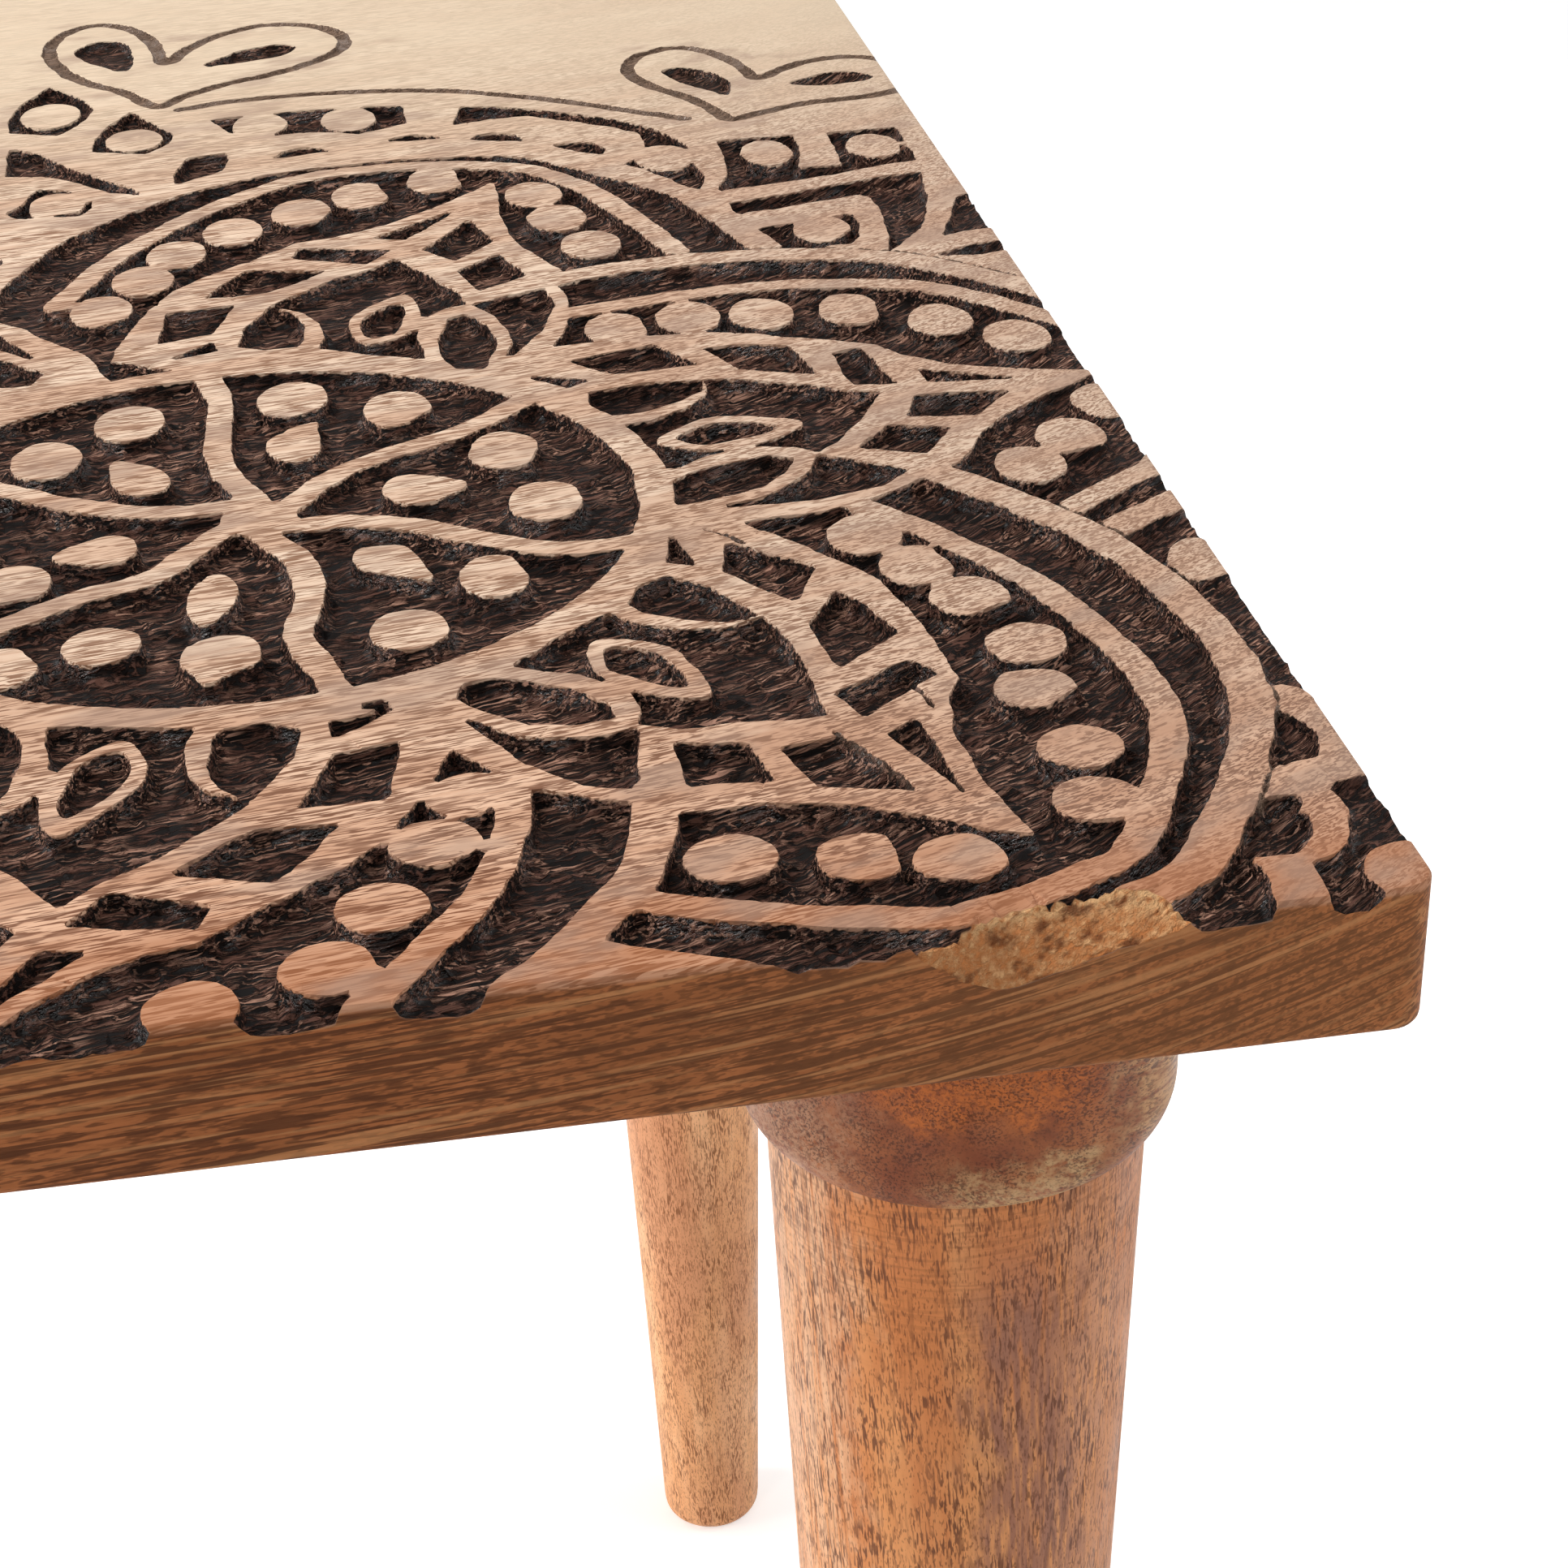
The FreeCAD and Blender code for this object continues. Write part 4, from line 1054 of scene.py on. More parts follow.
@dataclass(frozen=True)
class TurnedWood:
    """Mango wood, turned and oiled satin: short dark pore dashes along the fibres, which show as specks where
    the fibres end, on a ground that drifts between three browns.

    Attributes:
        name: the material's name.
        light: palest brown of the ground.
        warm: brown of the broad figure.
        red: reddest brown, in long clouds.
        pore: colour of the pore dashes.
        along: axis that the fibres follow, 0 for x, 1 for y, 2 for z.
        tilt: turn of the fibres about x, y and z, in degrees.
        zones: colour of a cloud, the four distances outward from the piece's axis at which it starts, is
            full, ends being full and ends, and the four heights, all in millimetres. The photograph shows
            them on the front right piece.
        rings: height in metres above which turning marks show.
        pores: how strong the pore dashes are, up to 1.
        roughness: of the oiled face.
        axis_at: distance of the pieces' axes from the table's middle along x, in metres.
    """

    name: str
    light: str
    warm: str
    red: str
    pore: str
    along: int
    tilt: tuple[float, float, float]
    zones: tuple[tuple[str, tuple[float, float, float, float], tuple[float, float, float, float]], ...]
    rings: float
    pores: float = 0.85
    roughness: float = 0.46
    axis_at: float = 0.202

    def material(self) -> bpy.types.Material:
        """Makes the material.

        Returns:
            The material.
        """
        material, tree, output = blank_material(self.name)
        place = add(tree, "ShaderNodeTexCoord").outputs["Object"]
        grain = Grain(tree, place, self.along, self.tilt)
        # figure 80 by 10 mm, clouds 130 by 30 mm, streaks 24 by 1 mm, dashes 3.4 by 0.4 mm and flecks 1.3
        # by 0.35 mm
        wood = grain.lay(self.light, self.warm,
                         grain.marks((80, 10), (0.36, 0.62), Detail=4.0, Roughness=0.6))
        wood = grain.lay(wood, self.red, grain.marks((130, 30), (0.46, 0.66), 0.8, Detail=3.0))
        parts = add(tree, "ShaderNodeSeparateXYZ", {}, {0: place})
        outward = add(tree, "ShaderNodeMath", {}, {0: parts.outputs["X"]}, operation="ABSOLUTE").outputs[0]
        outward = grain.combine("SUBTRACT", outward, self.axis_at)
        sway = grain.marks((9, 6), (0.2, 0.8), 0.009, Detail=4.0, Roughness=0.6)
        outward, upward = (grain.combine("ADD", way, sway) for way in (outward, parts.outputs["Z"]))
        for colour, across, height in self.zones:
            mask = None
            for way, limits in ((outward, across), (upward, height)):
                for start, full in (limits[:2], limits[:1:-1]):
                    side = grain.ramp(way, start * MM, full * MM)
                    mask = side if mask is None else grain.both(mask, side)
            wood = grain.lay(wood, colour, grain.both(mask, grain.marks((30, 0.9), (0.25, 0.6), Detail=3.0)))
        wood = grain.lay(wood, self.pore, grain.marks((24, 1.0), (0.54, 0.74), 0.4, Detail=3.0))
        dash = grain.both(grain.marks((3.4, 0.4), (0.51, 0.6), self.pores, Detail=1.0),
                          grain.marks((12, 5), (0.34, 0.6)))
        wood = grain.lay(wood, self.pore, dash)
        wood = grain.lay(wood, self.pore,
                         grain.marks((1.3, 0.35), (0.56, 0.68), self.pores * 0.7, Detail=1.0))
        # turning marks 0.7 mm apart, which fade in over 30 mm
        ring = grain.both(grain.marks((0.7, 8), (0.45, 0.65), 0.25, Detail=1.0),
                          grain.ramp(parts.outputs["Z"], self.rings, self.rings + 0.03))
        wood = grain.lay(wood, self.pore, ring)
        sheen = grain.marks((20, 8), (0.3, 0.7), 0.16)
        rough = grain.combine("SUBTRACT", self.roughness + 0.1, sheen)
        pits = {"Distance": 0.0003, "Strength": 0.3}
        bump = add(tree, "ShaderNodeBump", pits, {"Height": dash}, invert=True).outputs[0]
        links = {"Base Color": wood, "Roughness": rough, "Normal": bump}
        shader = add(tree, "ShaderNodeBsdfPrincipled", {"Specular IOR Level": 0.2}, links)
        tree.links.new(shader.outputs[0], output.inputs["Surface"])
        return material


@dataclass(frozen=True)
class PlatedMetal:
    """Plated steel or brass: a thin bright plating with fine drawing marks and a slightly uneven shine.

    Attributes:
        name: the material's name.
        colour: reflected colour.
        roughness: typical roughness of the plating.
    """

    name: str
    colour: str
    roughness: float

    def material(self) -> bpy.types.Material:
        """Makes the material.

        Returns:
            The material.
        """
        material, tree, output = blank_material(self.name)
        place = add(tree, "ShaderNodeTexCoord").outputs["Object"]
        marks_at = add(tree, "ShaderNodeMapping", {"Scale": (900, 900, 220)}, {"Vector": place}).outputs[0]
        marks = add(tree, "ShaderNodeTexNoise", {"Scale": 1.0, "Detail": 4.0},
                    {"Vector": marks_at}).outputs[0]
        range_of_shine = {1: 0.3, 2: 0.7, 3: self.roughness * 0.8, 4: self.roughness * 1.3}
        rough = add(tree, "ShaderNodeMapRange", range_of_shine, {0: marks}).outputs[0]
        bump = add(tree, "ShaderNodeBump", {"Distance": 0.0001, "Strength": 0.2},
                   {"Height": marks}).outputs[0]
        values = {"Base Color": linear(self.colour), "Metallic": 1.0}
        shader = add(tree, "ShaderNodeBsdfPrincipled", values, {"Roughness": rough, "Normal": bump})
        tree.links.new(shader.outputs[0], output.inputs["Surface"])
        return material


@dataclass
class CarvedTop:
    """Square board whose upper face carries the mandala. All sizes in millimetres.

    Attributes:
        width: size along x.
        depth: size along y.
        thickness: of the board.
        face_height: height of the upper face over the floor.
        corner_radius: of the board's upright corners.
        upper_easing: radius of the upper edge.
        lower_easing: radius of the lower edge.
        mandala_at: the mandala's middle, from the board's.
        grid_low: least x and y of the carved field, from the mandala's middle.
        grid_high: greatest x and y of the carved field.
        grid_step: spacing of the field.
        levels: signed distance at the rim and at the foot of a wall.
        clear: least distance of loose places from the board's edge.
        pocket_rim: back limit of the bark pocket at the front edge, read from the photograph.
        pocket_drop: how deep the pocket's broken face reaches at each x.
        mandala: the carving.
    """

    width: float = 508.0
    depth: float = 508.0
    thickness: float = 23.0
    face_height: float = 508.0
    corner_radius: float = 5.0
    upper_easing: float = 0.8
    lower_easing: float = 1.5
    mandala_at: tuple[float, float] = (99.64, -102.58)
    grid_low: tuple[float, float] = (-310.0, -158.0)
    grid_high: tuple[float, float] = (161.0, 328.0)
    grid_step: float = 0.95
    levels: tuple[float, float] = (0.3, -0.32)
    clear: float = 1.7
    pocket_rim: Points = (
        (83, -156), (84, -151.2), (88, -150), (95, -147.2), (103, -145), (111, -143.2), (117, -144.6),
        (120.5, -150.5), (121.5, -156))
    pocket_drop: Points = (
        (83, 2.0), (86, 4.5), (90, 7.2), (94.5, 8.8), (98, 8.4), (102, 7.4), (107, 5.6), (111, 4.2),
        (117, 3.0), (121, 2.0))
    mandala: Mandala = field(default_factory=Mandala)

    def outline(self, inset: float, spacing: float = 1.6) -> np.ndarray:
        """Rounded square, counter-clockwise: four straight sides joined by quarter circles, every side
        divided evenly.

        Args:
            inset: how far inside the board's edge it runs.
            spacing: distance between places on the straight sides.

        Returns:
            Places from the mandala's middle.
        """
        radius = self.corner_radius - inset
        half = np.array([self.width, self.depth]) / 2 - self.corner_radius
        turn = np.radians(np.linspace(0, 90, 9))
        corners = [np.array(sign) * half + radius * np.stack([np.cos(turn + start), np.sin(turn + start)], 1)
                   for sign, start in (((1, -1), -math.pi / 2), ((1, 1), 0), ((-1, 1), math.pi / 2),
                                       ((-1, -1), math.pi))]
        rows = []
        for corner, following in zip(corners, corners[1:] + corners[:1]):
            count = int(np.hypot(*(following[0] - corner[-1])) / spacing)
            share = np.linspace(0, 1, count + 1)[1:-1, None]
            rows += [corner, corner[-1] + (following[0] - corner[-1]) * share]
        return np.vstack(rows) - self.mandala_at

    def edge_distance(self, x: np.ndarray, y: np.ndarray) -> np.ndarray:
        """Distance inward from the board's rounded edge: the corner radius less the distance beyond the inner
        square."""
        px = np.abs(x + self.mandala_at[0]) - (self.width / 2 - self.corner_radius)
        py = np.abs(y + self.mandala_at[1]) - (self.depth / 2 - self.corner_radius)
        return self.corner_radius - np.hypot(np.maximum(px, 0),
                                             np.maximum(py, 0)) - np.minimum(np.maximum(px, py), 0)

    def pocket_line(self, x: np.ndarray) -> np.ndarray:
        """Back limit of the bark pocket at each x, made 0.5 mm ragged."""
        return np.interp(x, *np.transpose(self.pocket_rim)) + 0.5 * Ripple(5, 3, 3).at(x, x * 0)

    def pocket(self, x: np.ndarray, y: np.ndarray) -> np.ndarray:
        """Depth into the bark pocket beyond its line, in steps of 0.8 mm: negative outside, held within -3
        and 3."""
        return np.clip((self.pocket_line(x) - y) / 0.8, -3, 3)

    def scattered(self, spacing: float, seed: int) -> np.ndarray:
        """Places over the whole face on a grid of that spacing, each moved a little by a seeded chance."""
        chance = np.random.default_rng(seed)
        x, y = np.meshgrid(np.arange(-353, 154, spacing), np.arange(-151, 356, spacing))
        places = np.stack([x.ravel(), y.ravel()], 1)
        return places + chance.uniform(-0.32, 0.32, places.shape) * spacing

    def face(self) -> tuple[np.ndarray, np.ndarray, np.ndarray, np.ndarray]:
        """Triangles of the upper face. The lines of rim and foot of the carved field, its creases, the
        board's edge and two rings inside it are joined with scattered places into one triangulation, so
        that every wall starts and ends on its own line. Loose places lie close in the ground and the bark
        pocket, and wide apart on flat wood.

        Returns:
            Places from the mandala's middle, triangles, signed distance and cut depth at each place.
        """
        ground = CarvedField(self.grid_low, self.grid_high, self.grid_step)
        self.mandala.carve(ground)
        places, pairs, count = [], [], 0
        for level in self.levels:
            line, joined = ground.contour(level)
            places.append(line)
            pairs.append(joined + count)
            count += len(line)
        for crease in ground.creases:
            value = ground.read(ground.value, *crease.T)
            kept = (value > self.levels[1]) & (value < self.levels[0])
            kept &= self.edge_distance(*crease.T) > self.clear
            numbers = np.cumsum(kept) - 1 + count
            places.append(crease[kept])
            pairs.append(np.stack([numbers[:-1], numbers[1:]], 1)[kept[:-1] & kept[1:]])
            count += int(kept.sum())
        for inset in (0.0, 0.35, 1.2):
            ring = self.outline(inset)
            numbers = np.arange(len(ring)) + count
            places.append(ring)
            pairs.append(np.stack([numbers, np.roll(numbers, -1)], 1))
            count += len(ring)
        for spacing, seed, low, high in ((1.75, 1, -20, -0.8), (3.6, 2, 1.6, 6.5), (14.0, 3, 6.5, 99)):
            loose = self.scattered(spacing, seed)
            value = ground.read(ground.value, loose[:, 0], loose[:, 1])
            places.append(loose[(value > low) & (value < high) & (self.edge_distance(*loose.T) > self.clear)])
        rough = self.scattered(0.9, 4)
        places.append(rough[(self.pocket(*rough.T) > 0) & (self.edge_distance(*rough.T) > self.clear)])
        flat = np.vstack(places)
        LOG.info("face: %d places, %d joined pairs", len(flat), sum(map(len, pairs)))
        found = delaunay_2d_cdt([Vector(p) for p in flat.tolist()], np.vstack(pairs).tolist(), [], 0, 0.02,
                                False)
        points = np.array([tuple(v) for v in found[0]])
        triangles = np.array(found[2])
        middles = points[triangles].mean(1)
        triangles = triangles[self.edge_distance(*middles.T) > 1e-3]
        used = np.unique(triangles)
        number = np.full(len(points), -1)
        number[used] = np.arange(len(used))
        points, triangles = points[used], number[triangles]
        a, b, c = (points[triangles[:, k]] for k in range(3))
        u, v = b - a, c - a
        area = u[:, 0] * v[:, 1] - u[:, 1] * v[:, 0]
        triangles = np.where((area < 0)[:, None], triangles[:, ::-1], triangles)[np.abs(area) > 1e-7]
        return points, triangles, ground.read(ground.value, *points.T), ground.read(ground.depth, *points.T)

    def heights(self, x: np.ndarray, y: np.ndarray, value: np.ndarray, depth: np.ndarray) -> np.ndarray:
        """Height of the carved face over the board's own face. The wall falls from the line of the rim to
        that of the foot, where the knife left a slope, and the ground beyond is uneven from the gouge and
        shallower within 12 mm of the right edge. The bark pocket falls from its rim to its depth at the
        front edge. The board's edge is a quarter round.

        Args:
            x: places along x.
            y: places along y.
            value: signed distance at each place.
            depth: cut depth at each place.

        Returns:
            Heights, 0 or less.
        """
        rim, foot = self.levels
        scoop = 0.5 - 0.9 * np.abs(Ripple(21, 9, 3.4).at(x, y)) + 0.3 * Ripple(22, 5, 1.9).at(x, y)
        depth = depth * np.interp(x, (142.4, 154.4), (1.0, 0.55))
        slope = 0.7 * np.clip((value + 1.7) / 1.4, 0, 1) ** 2
        bed = -(depth + scoop * depth / GROUND_DEPTH) + slope * depth / GROUND_DEPTH
        height = np.interp(value, (foot, rim), (1.0, 0.0)) * bed
        line, inside = self.pocket_line(x), np.clip(self.pocket(x, y), 0, 1)
        fall = np.clip((line - y) / np.maximum(line + 151.8, 0.8), 0, 1)
        drop = np.interp(x, *np.transpose(self.pocket_drop))
        broken = -0.35 - drop * fall ** 1.2 - 0.45 * np.abs(Ripple(31, 2.0, 2.0).at(x, y))
        height = height * (1 - inside) + broken * inside
        reach = self.upper_easing + 0.4
        inward = np.clip(self.edge_distance(x, y), 0, reach)
        easing = -(reach - np.sqrt(np.maximum(reach ** 2 - (reach - inward) ** 2,
                                              0))) * self.upper_easing / reach
        return np.minimum(height, easing)

    def build(self, finish: CarvedWood) -> bpy.types.Object:
        """Makes the board: the carved face, a skirt of level rows round it and the closed underside.

        Args:
            finish: carved and stained wood.

        Returns:
            The board.
        """
        flat, triangles, value, depth = self.face()
        x, y = flat.T
        z = self.heights(x, y, value, depth)
        # hand-cut wobble of every line: 0.3 mm slow and 0.14 mm quick, fading out at the board's edge
        fade = np.clip((self.edge_distance(x, y) - 1.2) / 4, 0, 1)
        x, y = (way + fade * (0.3 * Ripple(slow, 12, 12).at(*flat.T) + 0.14 * Ripple(fine, 4, 4).at(*flat.T))
                for way, slow, fine in ((x, 41, 43), (y, 42, 44)))
        edges = np.vstack([triangles[:, [0, 1]], triangles[:, [1, 2]], triangles[:, [2, 0]]])
        order = np.sort(edges, 1)
        _, first, times = np.unique(order[:, 0] * len(flat) + order[:, 1], return_index=True,
                                    return_counts=True)
        rim = edges[first[times == 1]]
        border = np.unique(rim)
        column = np.full(len(flat), -1)
        column[border] = np.arange(len(border))
        # each row of the skirt: its height, and how far inside the board's edge it runs. The first follows
        # the rim 0.35 mm below it, so that stain and bark end there on a crisp line
        rows = [(np.minimum(level, z[border] - 0.35 * count), 0.0)
                for count, level in enumerate((0.0, -6.4, -7.6, -10.0, -13.5, -17.0), 1)]
        rows += [(-self.thickness + self.lower_easing * (1 - math.sin(a)),
                  self.lower_easing * (1 - math.cos(a)))
                 for a in np.radians((0, 22, 45, 68, 90))]
        half = np.array([self.width, self.depth]) / 2
        edge = np.stack([x[border], y[border]], 1) + self.mandala_at
        core = np.clip(edge, -half + self.corner_radius, half - self.corner_radius)
        away = np.hypot(*(edge - core).T)
        parts = [np.stack([x + self.mandala_at[0], y + self.mandala_at[1], z], 1)]
        for drop, inset in rows:
            share = (away - inset) / np.maximum(away, 1e-6)
            row = core + (edge - core) * share[:, None]
            parts.append(np.column_stack([row, drop + np.zeros(len(border))]))
        parts.append(np.array([[0.0, 0.0, -self.thickness]]))
        points = np.vstack(parts)
        points[:, 2] += self.face_height
        points[:, :2] = np.clip(points[:, :2], -half, half)
        low = rim
        faces = [triangles]
        for number in range(len(rows)):
            base = len(flat) + number * len(border)
            under = base + column[rim]
            faces += [np.stack([low[:, 1], low[:, 0], under[:, 0]], 1),
                      np.stack([low[:, 1], under[:, 0], under[:, 1]], 1)]
            low = under
        faces.append(np.stack([low[:, 1], low[:, 0], np.full(len(low), len(points) - 1)], 1))
        board = mesh_object("carved_board", points * MM, np.vstack(faces), finish.material(), sharp=24.0)
        extra = len(points) - len(flat)
        for name, on_face, on_side in (
            ("stands", np.clip(value, -6, 6), 6.0),
            ("depth", depth / GROUND_DEPTH, 1.0),
            ("pocket", self.pocket(*flat.T), -3.0),
        ):
            numbers = np.concatenate([on_face, np.full(extra, on_side)]).astype(np.float32)
            board.data.attributes.new(name, "FLOAT", "POINT").data.foreach_set("value", numbers)
        LOG.info("carved_board: %d triangles", len(np.vstack(faces)))
        return board


def lathe(name: str, profile: np.ndarray, centre: tuple[float, float], material: bpy.types.Material,
          sides: int = 160) -> bpy.types.Object:
    """Turned solid: a profile of radius and height carried round an upright axis, closed at both ends on the
    axis.

    Args:
        name: the object's name.
        profile: radius and height of each ring, from the lower pole to the upper one, in millimetres.
        centre: x and y of the axis, in millimetres.
        material: finish of the piece.
        sides: steps round the axis.

    Returns:
        The object.
    """
    around = np.linspace(0, 2 * math.pi, sides, endpoint=False)
    rings = profile[1:-1]
    x = centre[0] + rings[:, :1] * np.cos(around)
    y = centre[1] + rings[:, :1] * np.sin(around)
    z = np.repeat(rings[:, 1:], sides, 1)
    poles = np.array([[*centre, profile[0, 1]], [*centre, profile[-1, 1]]])
    points = np.vstack([np.stack([x, y, z], -1).reshape(-1, 3), poles])
    ring, side = np.meshgrid(np.arange(len(rings) - 1) * sides, np.arange(sides), indexing="ij")
    following = (side + 1) % sides
    quads = np.stack([ring + side, ring + following, ring + sides + following, ring + sides + side], -1)
    first, last = np.arange(sides), (len(rings) - 1) * sides + np.arange(sides)
    low, high = len(points) - 2, len(points) - 1
    caps = [np.stack([np.full(sides, low), np.roll(first, -1), first], 1),
            np.stack([np.full(sides, high), last, np.roll(last, -1)], 1)]
    return mesh_object(name, points * MM, quads.reshape(-1, 4).tolist() + np.vstack(caps).tolist(), material)


CORNERS = {"front_right": (1, -1), "front_left": (-1, -1), "back_right": (1, 1), "back_left": (-1, 1)}


@dataclass
class TurnedLegs:
    """Four straight-tapered legs with rounded feet and a bore for the hanger bolt. All sizes in
    millimetres."""

    spread: tuple[float, float] = (202.0, 195.0)
    length: float = 442.0
    top_radius: float = 29.75
    foot_radius: float = 15.6
    foot_rounding: float = 4.5
    bore_radius: float = 5.2
    bore_depth: float = 43.5

    def profile(self) -> np.ndarray:
        """Radius and height: flat foot, a quarter round into the taper, the straight taper, the flat top and
        the bore down its middle."""
        turn = np.radians(np.linspace(0, 86, 9))
        flat = self.foot_radius - self.foot_rounding
        foot = np.stack([flat + self.foot_rounding * np.sin(turn), self.foot_rounding * (1 - np.cos(turn))],
                        1)
        top, bore = self.length, self.bore_radius
        heights = np.linspace(self.foot_rounding + 1.5, top - 0.4, 60)
        radii = self.foot_radius + (self.top_radius - self.foot_radius) * heights / top - 0.01
        ends = np.array([(self.top_radius - 0.4, top), (bore + 0.6, top), (bore, top - 0.6),
                         (bore, top - self.bore_depth), (0.0, top - self.bore_depth)])
        return np.vstack([[(0.0, 0.0)], foot, np.stack([radii, heights], 1), ends])

    def build(self, finish: TurnedWood, paler: TurnedWood) -> list[bpy.types.Object]:
        """Makes the four legs, which stand for the CAD's.

        Args:
            finish: oiled wood of the legs.
            paler: a paler copy of the leg wood for the back right leg; its paleness is painted light,
                standing in for the brighter light that falls on that leg.

        Returns:
            The legs.
        """
        usual, pale = finish.material(), paler.material()
        legs = []
        for corner, (side, end) in CORNERS.items():
            # the back right leg takes the paler copy, whose paleness is painted light
            wood = pale if corner == "back_right" else usual
            axis = side * self.spread[0], end * self.spread[1]
            leg = lathe("turned_leg_" + corner, self.profile(), axis, wood)
            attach(leg, "root")
            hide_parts("leg_" + corner)
            legs.append(leg)
        return legs


@dataclass
class Collars:
    """Round blocks between legs and board, with the stepped bore of the insert nut. All sizes in
    millimetres."""

    spread: tuple[float, float] = (202.0, 195.0)
    low: float = 442.0
    high: float = 485.0
    radius: float = 34.1
    leg_radius: float = 29.75
    rounding_height: float = 7.0
    bore: Points = ((0.0, 31.5), (5.2, 31.5), (5.2, 23.5), (8.45, 23.5), (8.45, 1.6), (10.2, 1.6),
                    (10.2, 0.0))

    def profile(self) -> np.ndarray:
        """Radius and height: the stepped bore, given from the underside upwards, the flat underside, a
        quarter round out to the rim, the upright face and the flat top."""
        turn = np.radians(np.linspace(0, 90, 12))
        width = self.radius - self.leg_radius
        rounded = np.stack([self.leg_radius + width * np.sin(turn),
                            self.rounding_height * (1 - np.cos(turn))], 1)
        heights = np.linspace(self.low + self.rounding_height + 2, self.high - 0.3, 12)
        face = np.array([(self.radius, height) for height in heights])
        rim = [(self.radius - 0.3, self.high), (0.0, self.high)]
        return np.vstack([np.array(self.bore) + (0, self.low), rounded + (0, self.low), face, rim])

    def build(self, finish: TurnedWood) -> list[bpy.types.Object]:
        """Makes the four collars, which stand for the CAD's.

        Args:
            finish: oiled wood of the collars.

        Returns:
            The collars.
        """
        material = finish.material()
        collars = []
        for corner, (side, end) in CORNERS.items():
            axis = side * self.spread[0], end * self.spread[1]
            collar = lathe("turned_collar_" + corner, self.profile(), axis, material)
            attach(collar, "root")
            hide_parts("collar_" + corner)
            collars.append(collar)
        return collars


@dataclass
class Hardware:
    """Hanger bolts, insert nuts and screws: the CAD's own solids in plated metal."""

    zinc: PlatedMetal = PlatedMetal("zinc_plated_steel", "#B4B6B8", 0.32)
    brass: PlatedMetal = PlatedMetal("brass_plated_steel", "#C9A85E", 0.28)

    def dress(self, nodes: dict[str, bpy.types.Object]) -> int:
        """Gives each metal node its plating.

        Args:
            nodes: the frame's CAD nodes by name.

        Returns:
            How many nodes were dressed.
        """
        zinc, brass = self.zinc.material(), self.brass.material()
        count = 0
        for name, node in nodes.items():
            if name.startswith(("hanger_bolt", "collar_screws", "insert_nut")):
                node.data.materials.clear()
                node.data.materials.append(brass if name.startswith("insert_nut") else zinc)
                count += 1
        return count


def shown_as_background(tree: bpy.types.NodeTree) -> Look:
    """Mask that is 1 where the camera, a glossy thing or a clear one looks at the surface."""
    path = add(tree, "ShaderNodeLightPath").outputs
    seen = path["Is Camera Ray"]
    for kind in ("Is Glossy Ray", "Is Transmission Ray"):
        seen = add(tree, "ShaderNodeMath", {}, {0: seen, 1: path[kind]}, operation="MAXIMUM").outputs[0]
    return seen


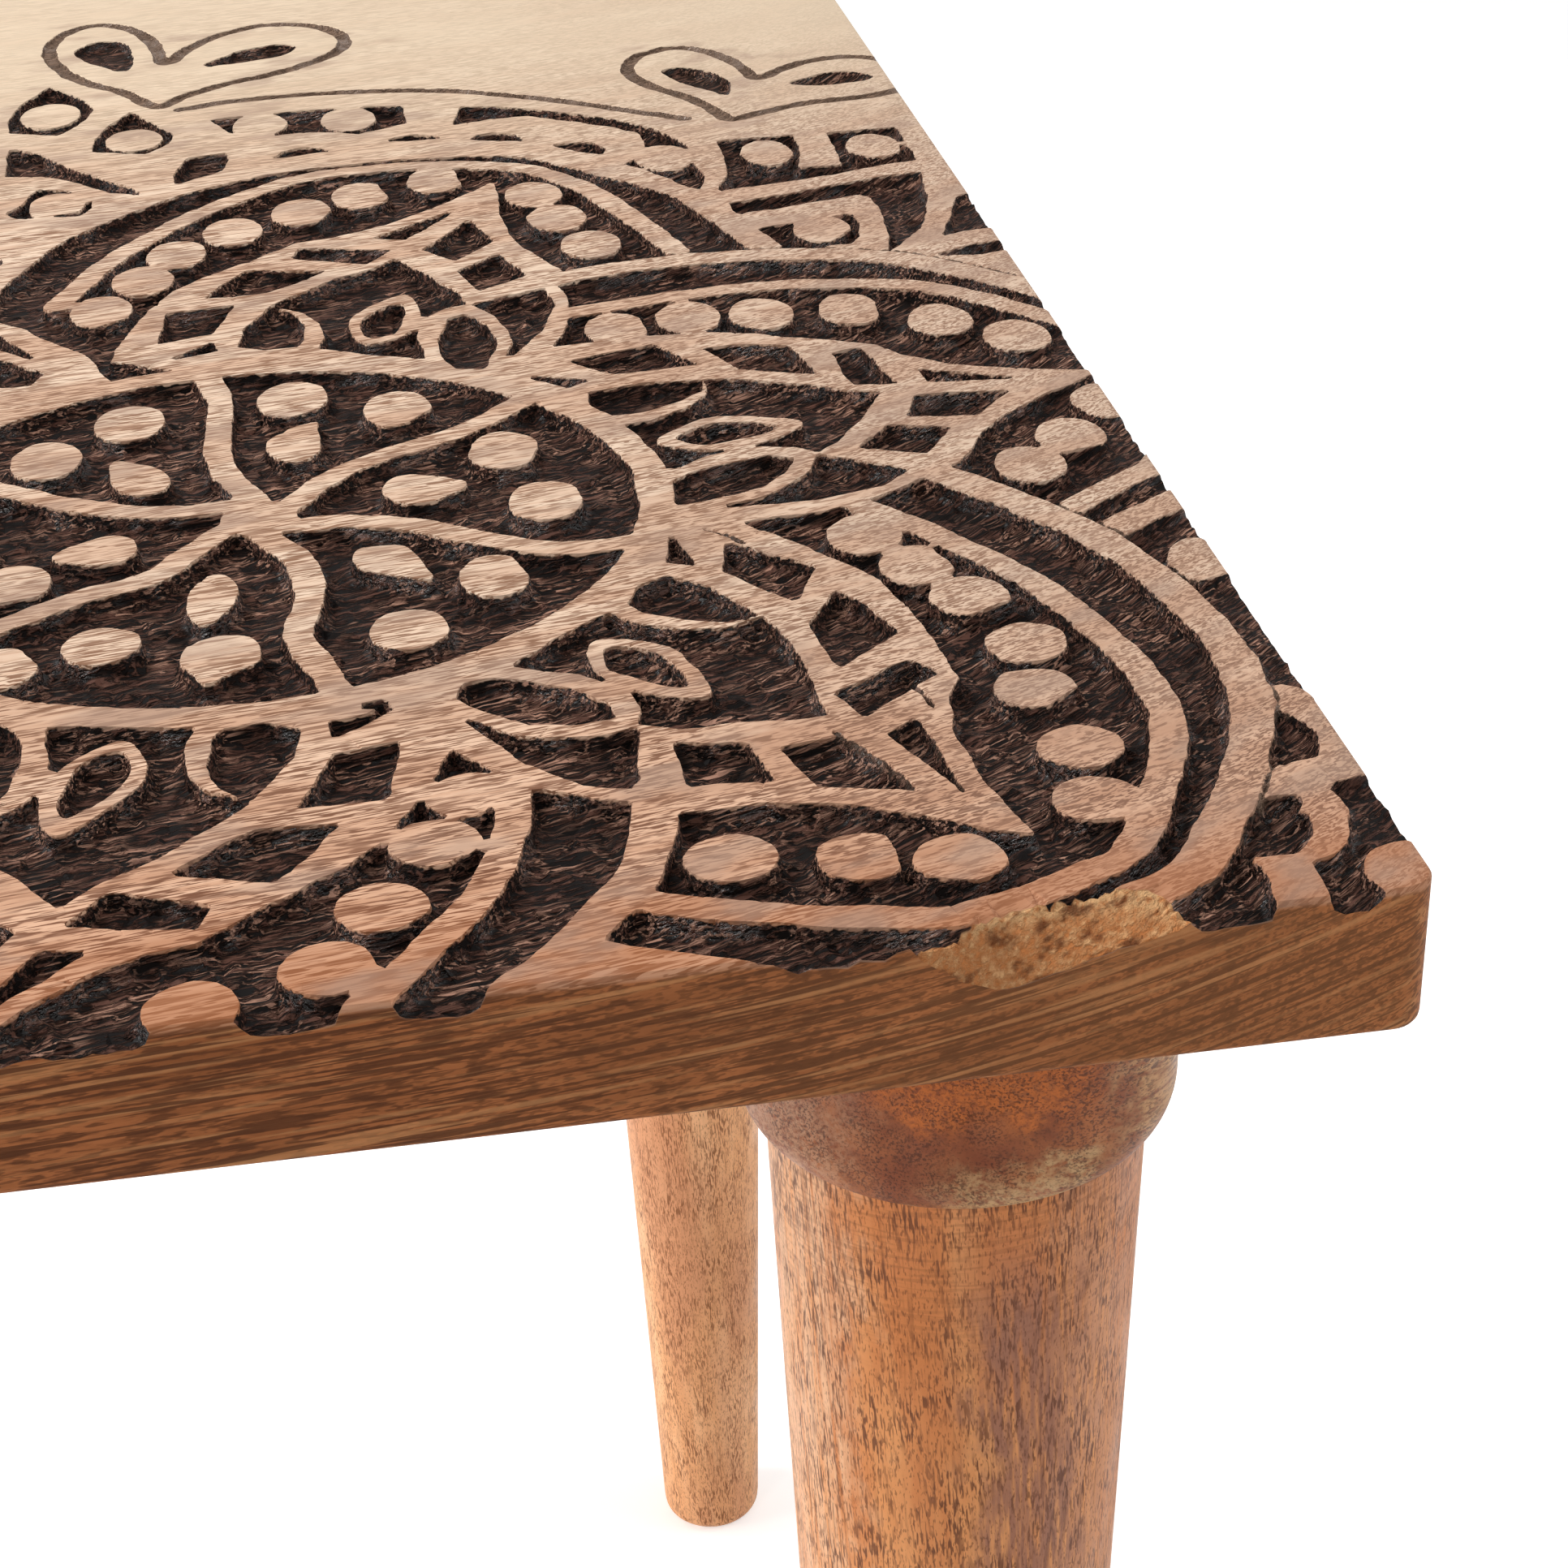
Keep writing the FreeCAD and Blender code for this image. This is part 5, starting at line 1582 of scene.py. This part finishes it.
@dataclass
class Studio:
    """Pale floor, white surround, soft lamps and the photograph's camera. Sizes in metres and radians."""

    camera_at: tuple[float, float, float] = (0.12120, -0.56911, 0.71321)
    yaw: float = -0.147
    pitch: float = 0.515
    roll: float = -0.031
    lens: float = 68.817
    floor_size: float = 6.0
    floor_glow: float = 0.42
    surround: float = 0.5

    def build(self) -> None:
        """Builds floor, world, lamps and camera."""
        self.build_floor()
        self.build_world()
        self.build_lamps()
        self.build_camera()

    def build_floor(self) -> None:
        """Flat floor at the table's feet. It shows white to the camera and in glossy things, and keeps the
        table's shadow."""
        material, tree, output = blank_material("white_painted_floor")
        seen = shown_as_background(tree)
        glow = add(tree, "ShaderNodeMath", {1: self.floor_glow}, {0: seen}, operation="MULTIPLY").outputs[0]
        place = add(tree, "ShaderNodeTexCoord").outputs["Object"]
        mottle = add(tree, "ShaderNodeTexNoise", {"Scale": 9.0, "Detail": 3.0}, {"Vector": place}).outputs[0]
        rough = add(tree, "ShaderNodeMapRange", {3: 0.85, 4: 0.95}, {0: mottle}).outputs[0]
        values = {"Base Color": linear("#F2F2F0"), "Emission Color": linear("#FFFFFF")}
        links = {"Roughness": rough, "Emission Strength": glow}
        shader = add(tree, "ShaderNodeBsdfPrincipled", values, links)
        tree.links.new(shader.outputs[0], output.inputs["Surface"])
        half = self.floor_size / 2
        corners = np.array([(-half, -half, 0.0), (half, -half, 0.0), (half, half, 0.0), (-half, half, 0.0)])
        mesh_object("studio_floor", corners, [[0, 1, 2, 3]], material)

    def build_world(self) -> None:
        """Even white light from all round, shown as plain white behind the table."""
        world = bpy.data.worlds.new("white_surround")
        world.use_nodes = True
        tree = world.node_tree
        tree.nodes.clear()
        seen = shown_as_background(tree)
        level = add(tree, "ShaderNodeMapRange", {3: self.surround, 4: 1.0}, {0: seen}).outputs[0]
        white = add(tree, "ShaderNodeBackground", {"Color": linear("#FFFFFF")}, {"Strength": level})
        output = add(tree, "ShaderNodeOutputWorld")
        tree.links.new(white.outputs[0], output.inputs["Surface"])
        bpy.context.scene.world = world

    def build_lamps(self) -> None:
        """Soft boxes: the key above on the left, whose glints show in the stain, one low on the left beside
        the legs, one high on the right and a weak one in front."""
        for name, place, aim, size, power in (
            ("lamp_key", (-0.75, 0.25, 1.8), (0.1, -0.15, 0.5), 0.6, 19.0),
            ("lamp_left", (-1.7, 0.15, 0.45), (0.1, -0.1, 0.25), 1.0, 36.0),
            ("lamp_right", (1.5, -0.2, 1.2), (0.15, -0.1, 0.4), 1.0, 8.0),
            ("lamp_front", (-1.1, -1.5, 1.6), (0.1, -0.1, 0.5), 0.4, 5.0),
        ):
            lamp = bpy.data.lights.new(name, "AREA")
            lamp.size = size
            lamp.energy = power
            holder = bpy.data.objects.new(name, lamp)
            holder.location = place
            holder.rotation_euler = (Vector(aim) - Vector(place)).to_track_quat("-Z", "Y").to_euler()
            bpy.context.scene.collection.objects.link(holder)

    def build_camera(self) -> None:
        """Camera worked out from the photograph: yaw about the upright, pitch downwards, then roll about the
        line of sight."""
        level = math.cos(self.pitch)
        ahead = Vector((-math.sin(self.yaw) * level, math.cos(self.yaw) * level, -math.sin(self.pitch)))
        right = Vector((math.cos(self.yaw), math.sin(self.yaw), 0.0))
        up = right.cross(ahead)
        across = right * math.cos(self.roll) + up * math.sin(self.roll)
        upward = up * math.cos(self.roll) - right * math.sin(self.roll)
        data = bpy.data.cameras.new("photo_camera")
        data.lens = self.lens
        data.sensor_width = 36.0
        camera = bpy.data.objects.new("photo_camera", data)
        turn = Matrix((across, upward, -ahead)).transposed()
        camera.matrix_world = Matrix.Translation(Vector(self.camera_at)) @ turn.to_4x4()
        bpy.context.scene.collection.objects.link(camera)
        bpy.context.scene.camera = camera


def main() -> None:
    """Builds the table around the frame, then the studio."""
    logging.basicConfig(level=logging.INFO, format="%(name)s: %(message)s")
    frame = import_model()
    board = CarvedTop().build(CarvedWood())
    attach(board, "root")
    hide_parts("carved_top")
    leg_wood = TurnedWood(
        "mango_wood_turned_leg", light="#DE985F", warm="#C97C46", red="#B4704C", pore="#5E3016",
        along=2, tilt=(2.0, 2.5, 0.0), rings=0.4,
        # the first zone, paler on the side towards the table's middle, is partly paler wood and partly
        # painted highlight from the left lamp and the white surround
        zones=(("#E2AF86", (-60, -50, -22, -12), (-30, -20, 460, 470)),
               ("#C4865E", (10, 18, 40, 50), (-30, -20, 460, 470)),
               ("#9C6850", (-2, 6, 14, 22), (300, 330, 420, 440))))
    # paler copy of the leg wood for the back right leg: painted light that stands in for the brighter light
    # on it
    back_leg_painted_light_wood = TurnedWood(
        "mango_wood_turned_back_leg_painted_light", light="#F4BC8C", warm="#E4A674", red="#D2946C", pore="#84502E",
        along=2, tilt=(2.0, 2.5, 40.0), rings=0.4, zones=())
    collar_wood = TurnedWood(
        "mango_wood_turned_collar", light="#AC683C", warm="#804424", red="#7C402A", pore="#43200F",
        along=1, tilt=(20.0, 0.0, 28.0), rings=0.6, pores=0.65,
        zones=(("#AE7E5E", (-60, -50, -24, -12), (430, 440, 500, 510)),
               ("#C06A30", (-18, -8, 14, 24), (460, 467, 500, 510)),
               ("#B88A5E", (20, 28, 60, 70), (446, 456, 500, 510)),
               ("#BC9468", (-10, 2, 16, 24), (430, 435, 452, 458))))
    for leg in TurnedLegs().build(leg_wood, back_leg_painted_light_wood):
        LOG.info("made %s", leg.name)
    for collar in Collars().build(collar_wood):
        LOG.info("made %s", collar.name)
    LOG.info("dressed %d metal pieces", Hardware().dress(frame["nodes"]))
    Studio().build()
    view = bpy.context.scene.view_settings
    view.view_transform = "Standard"


if __name__ == "__main__":
    main()
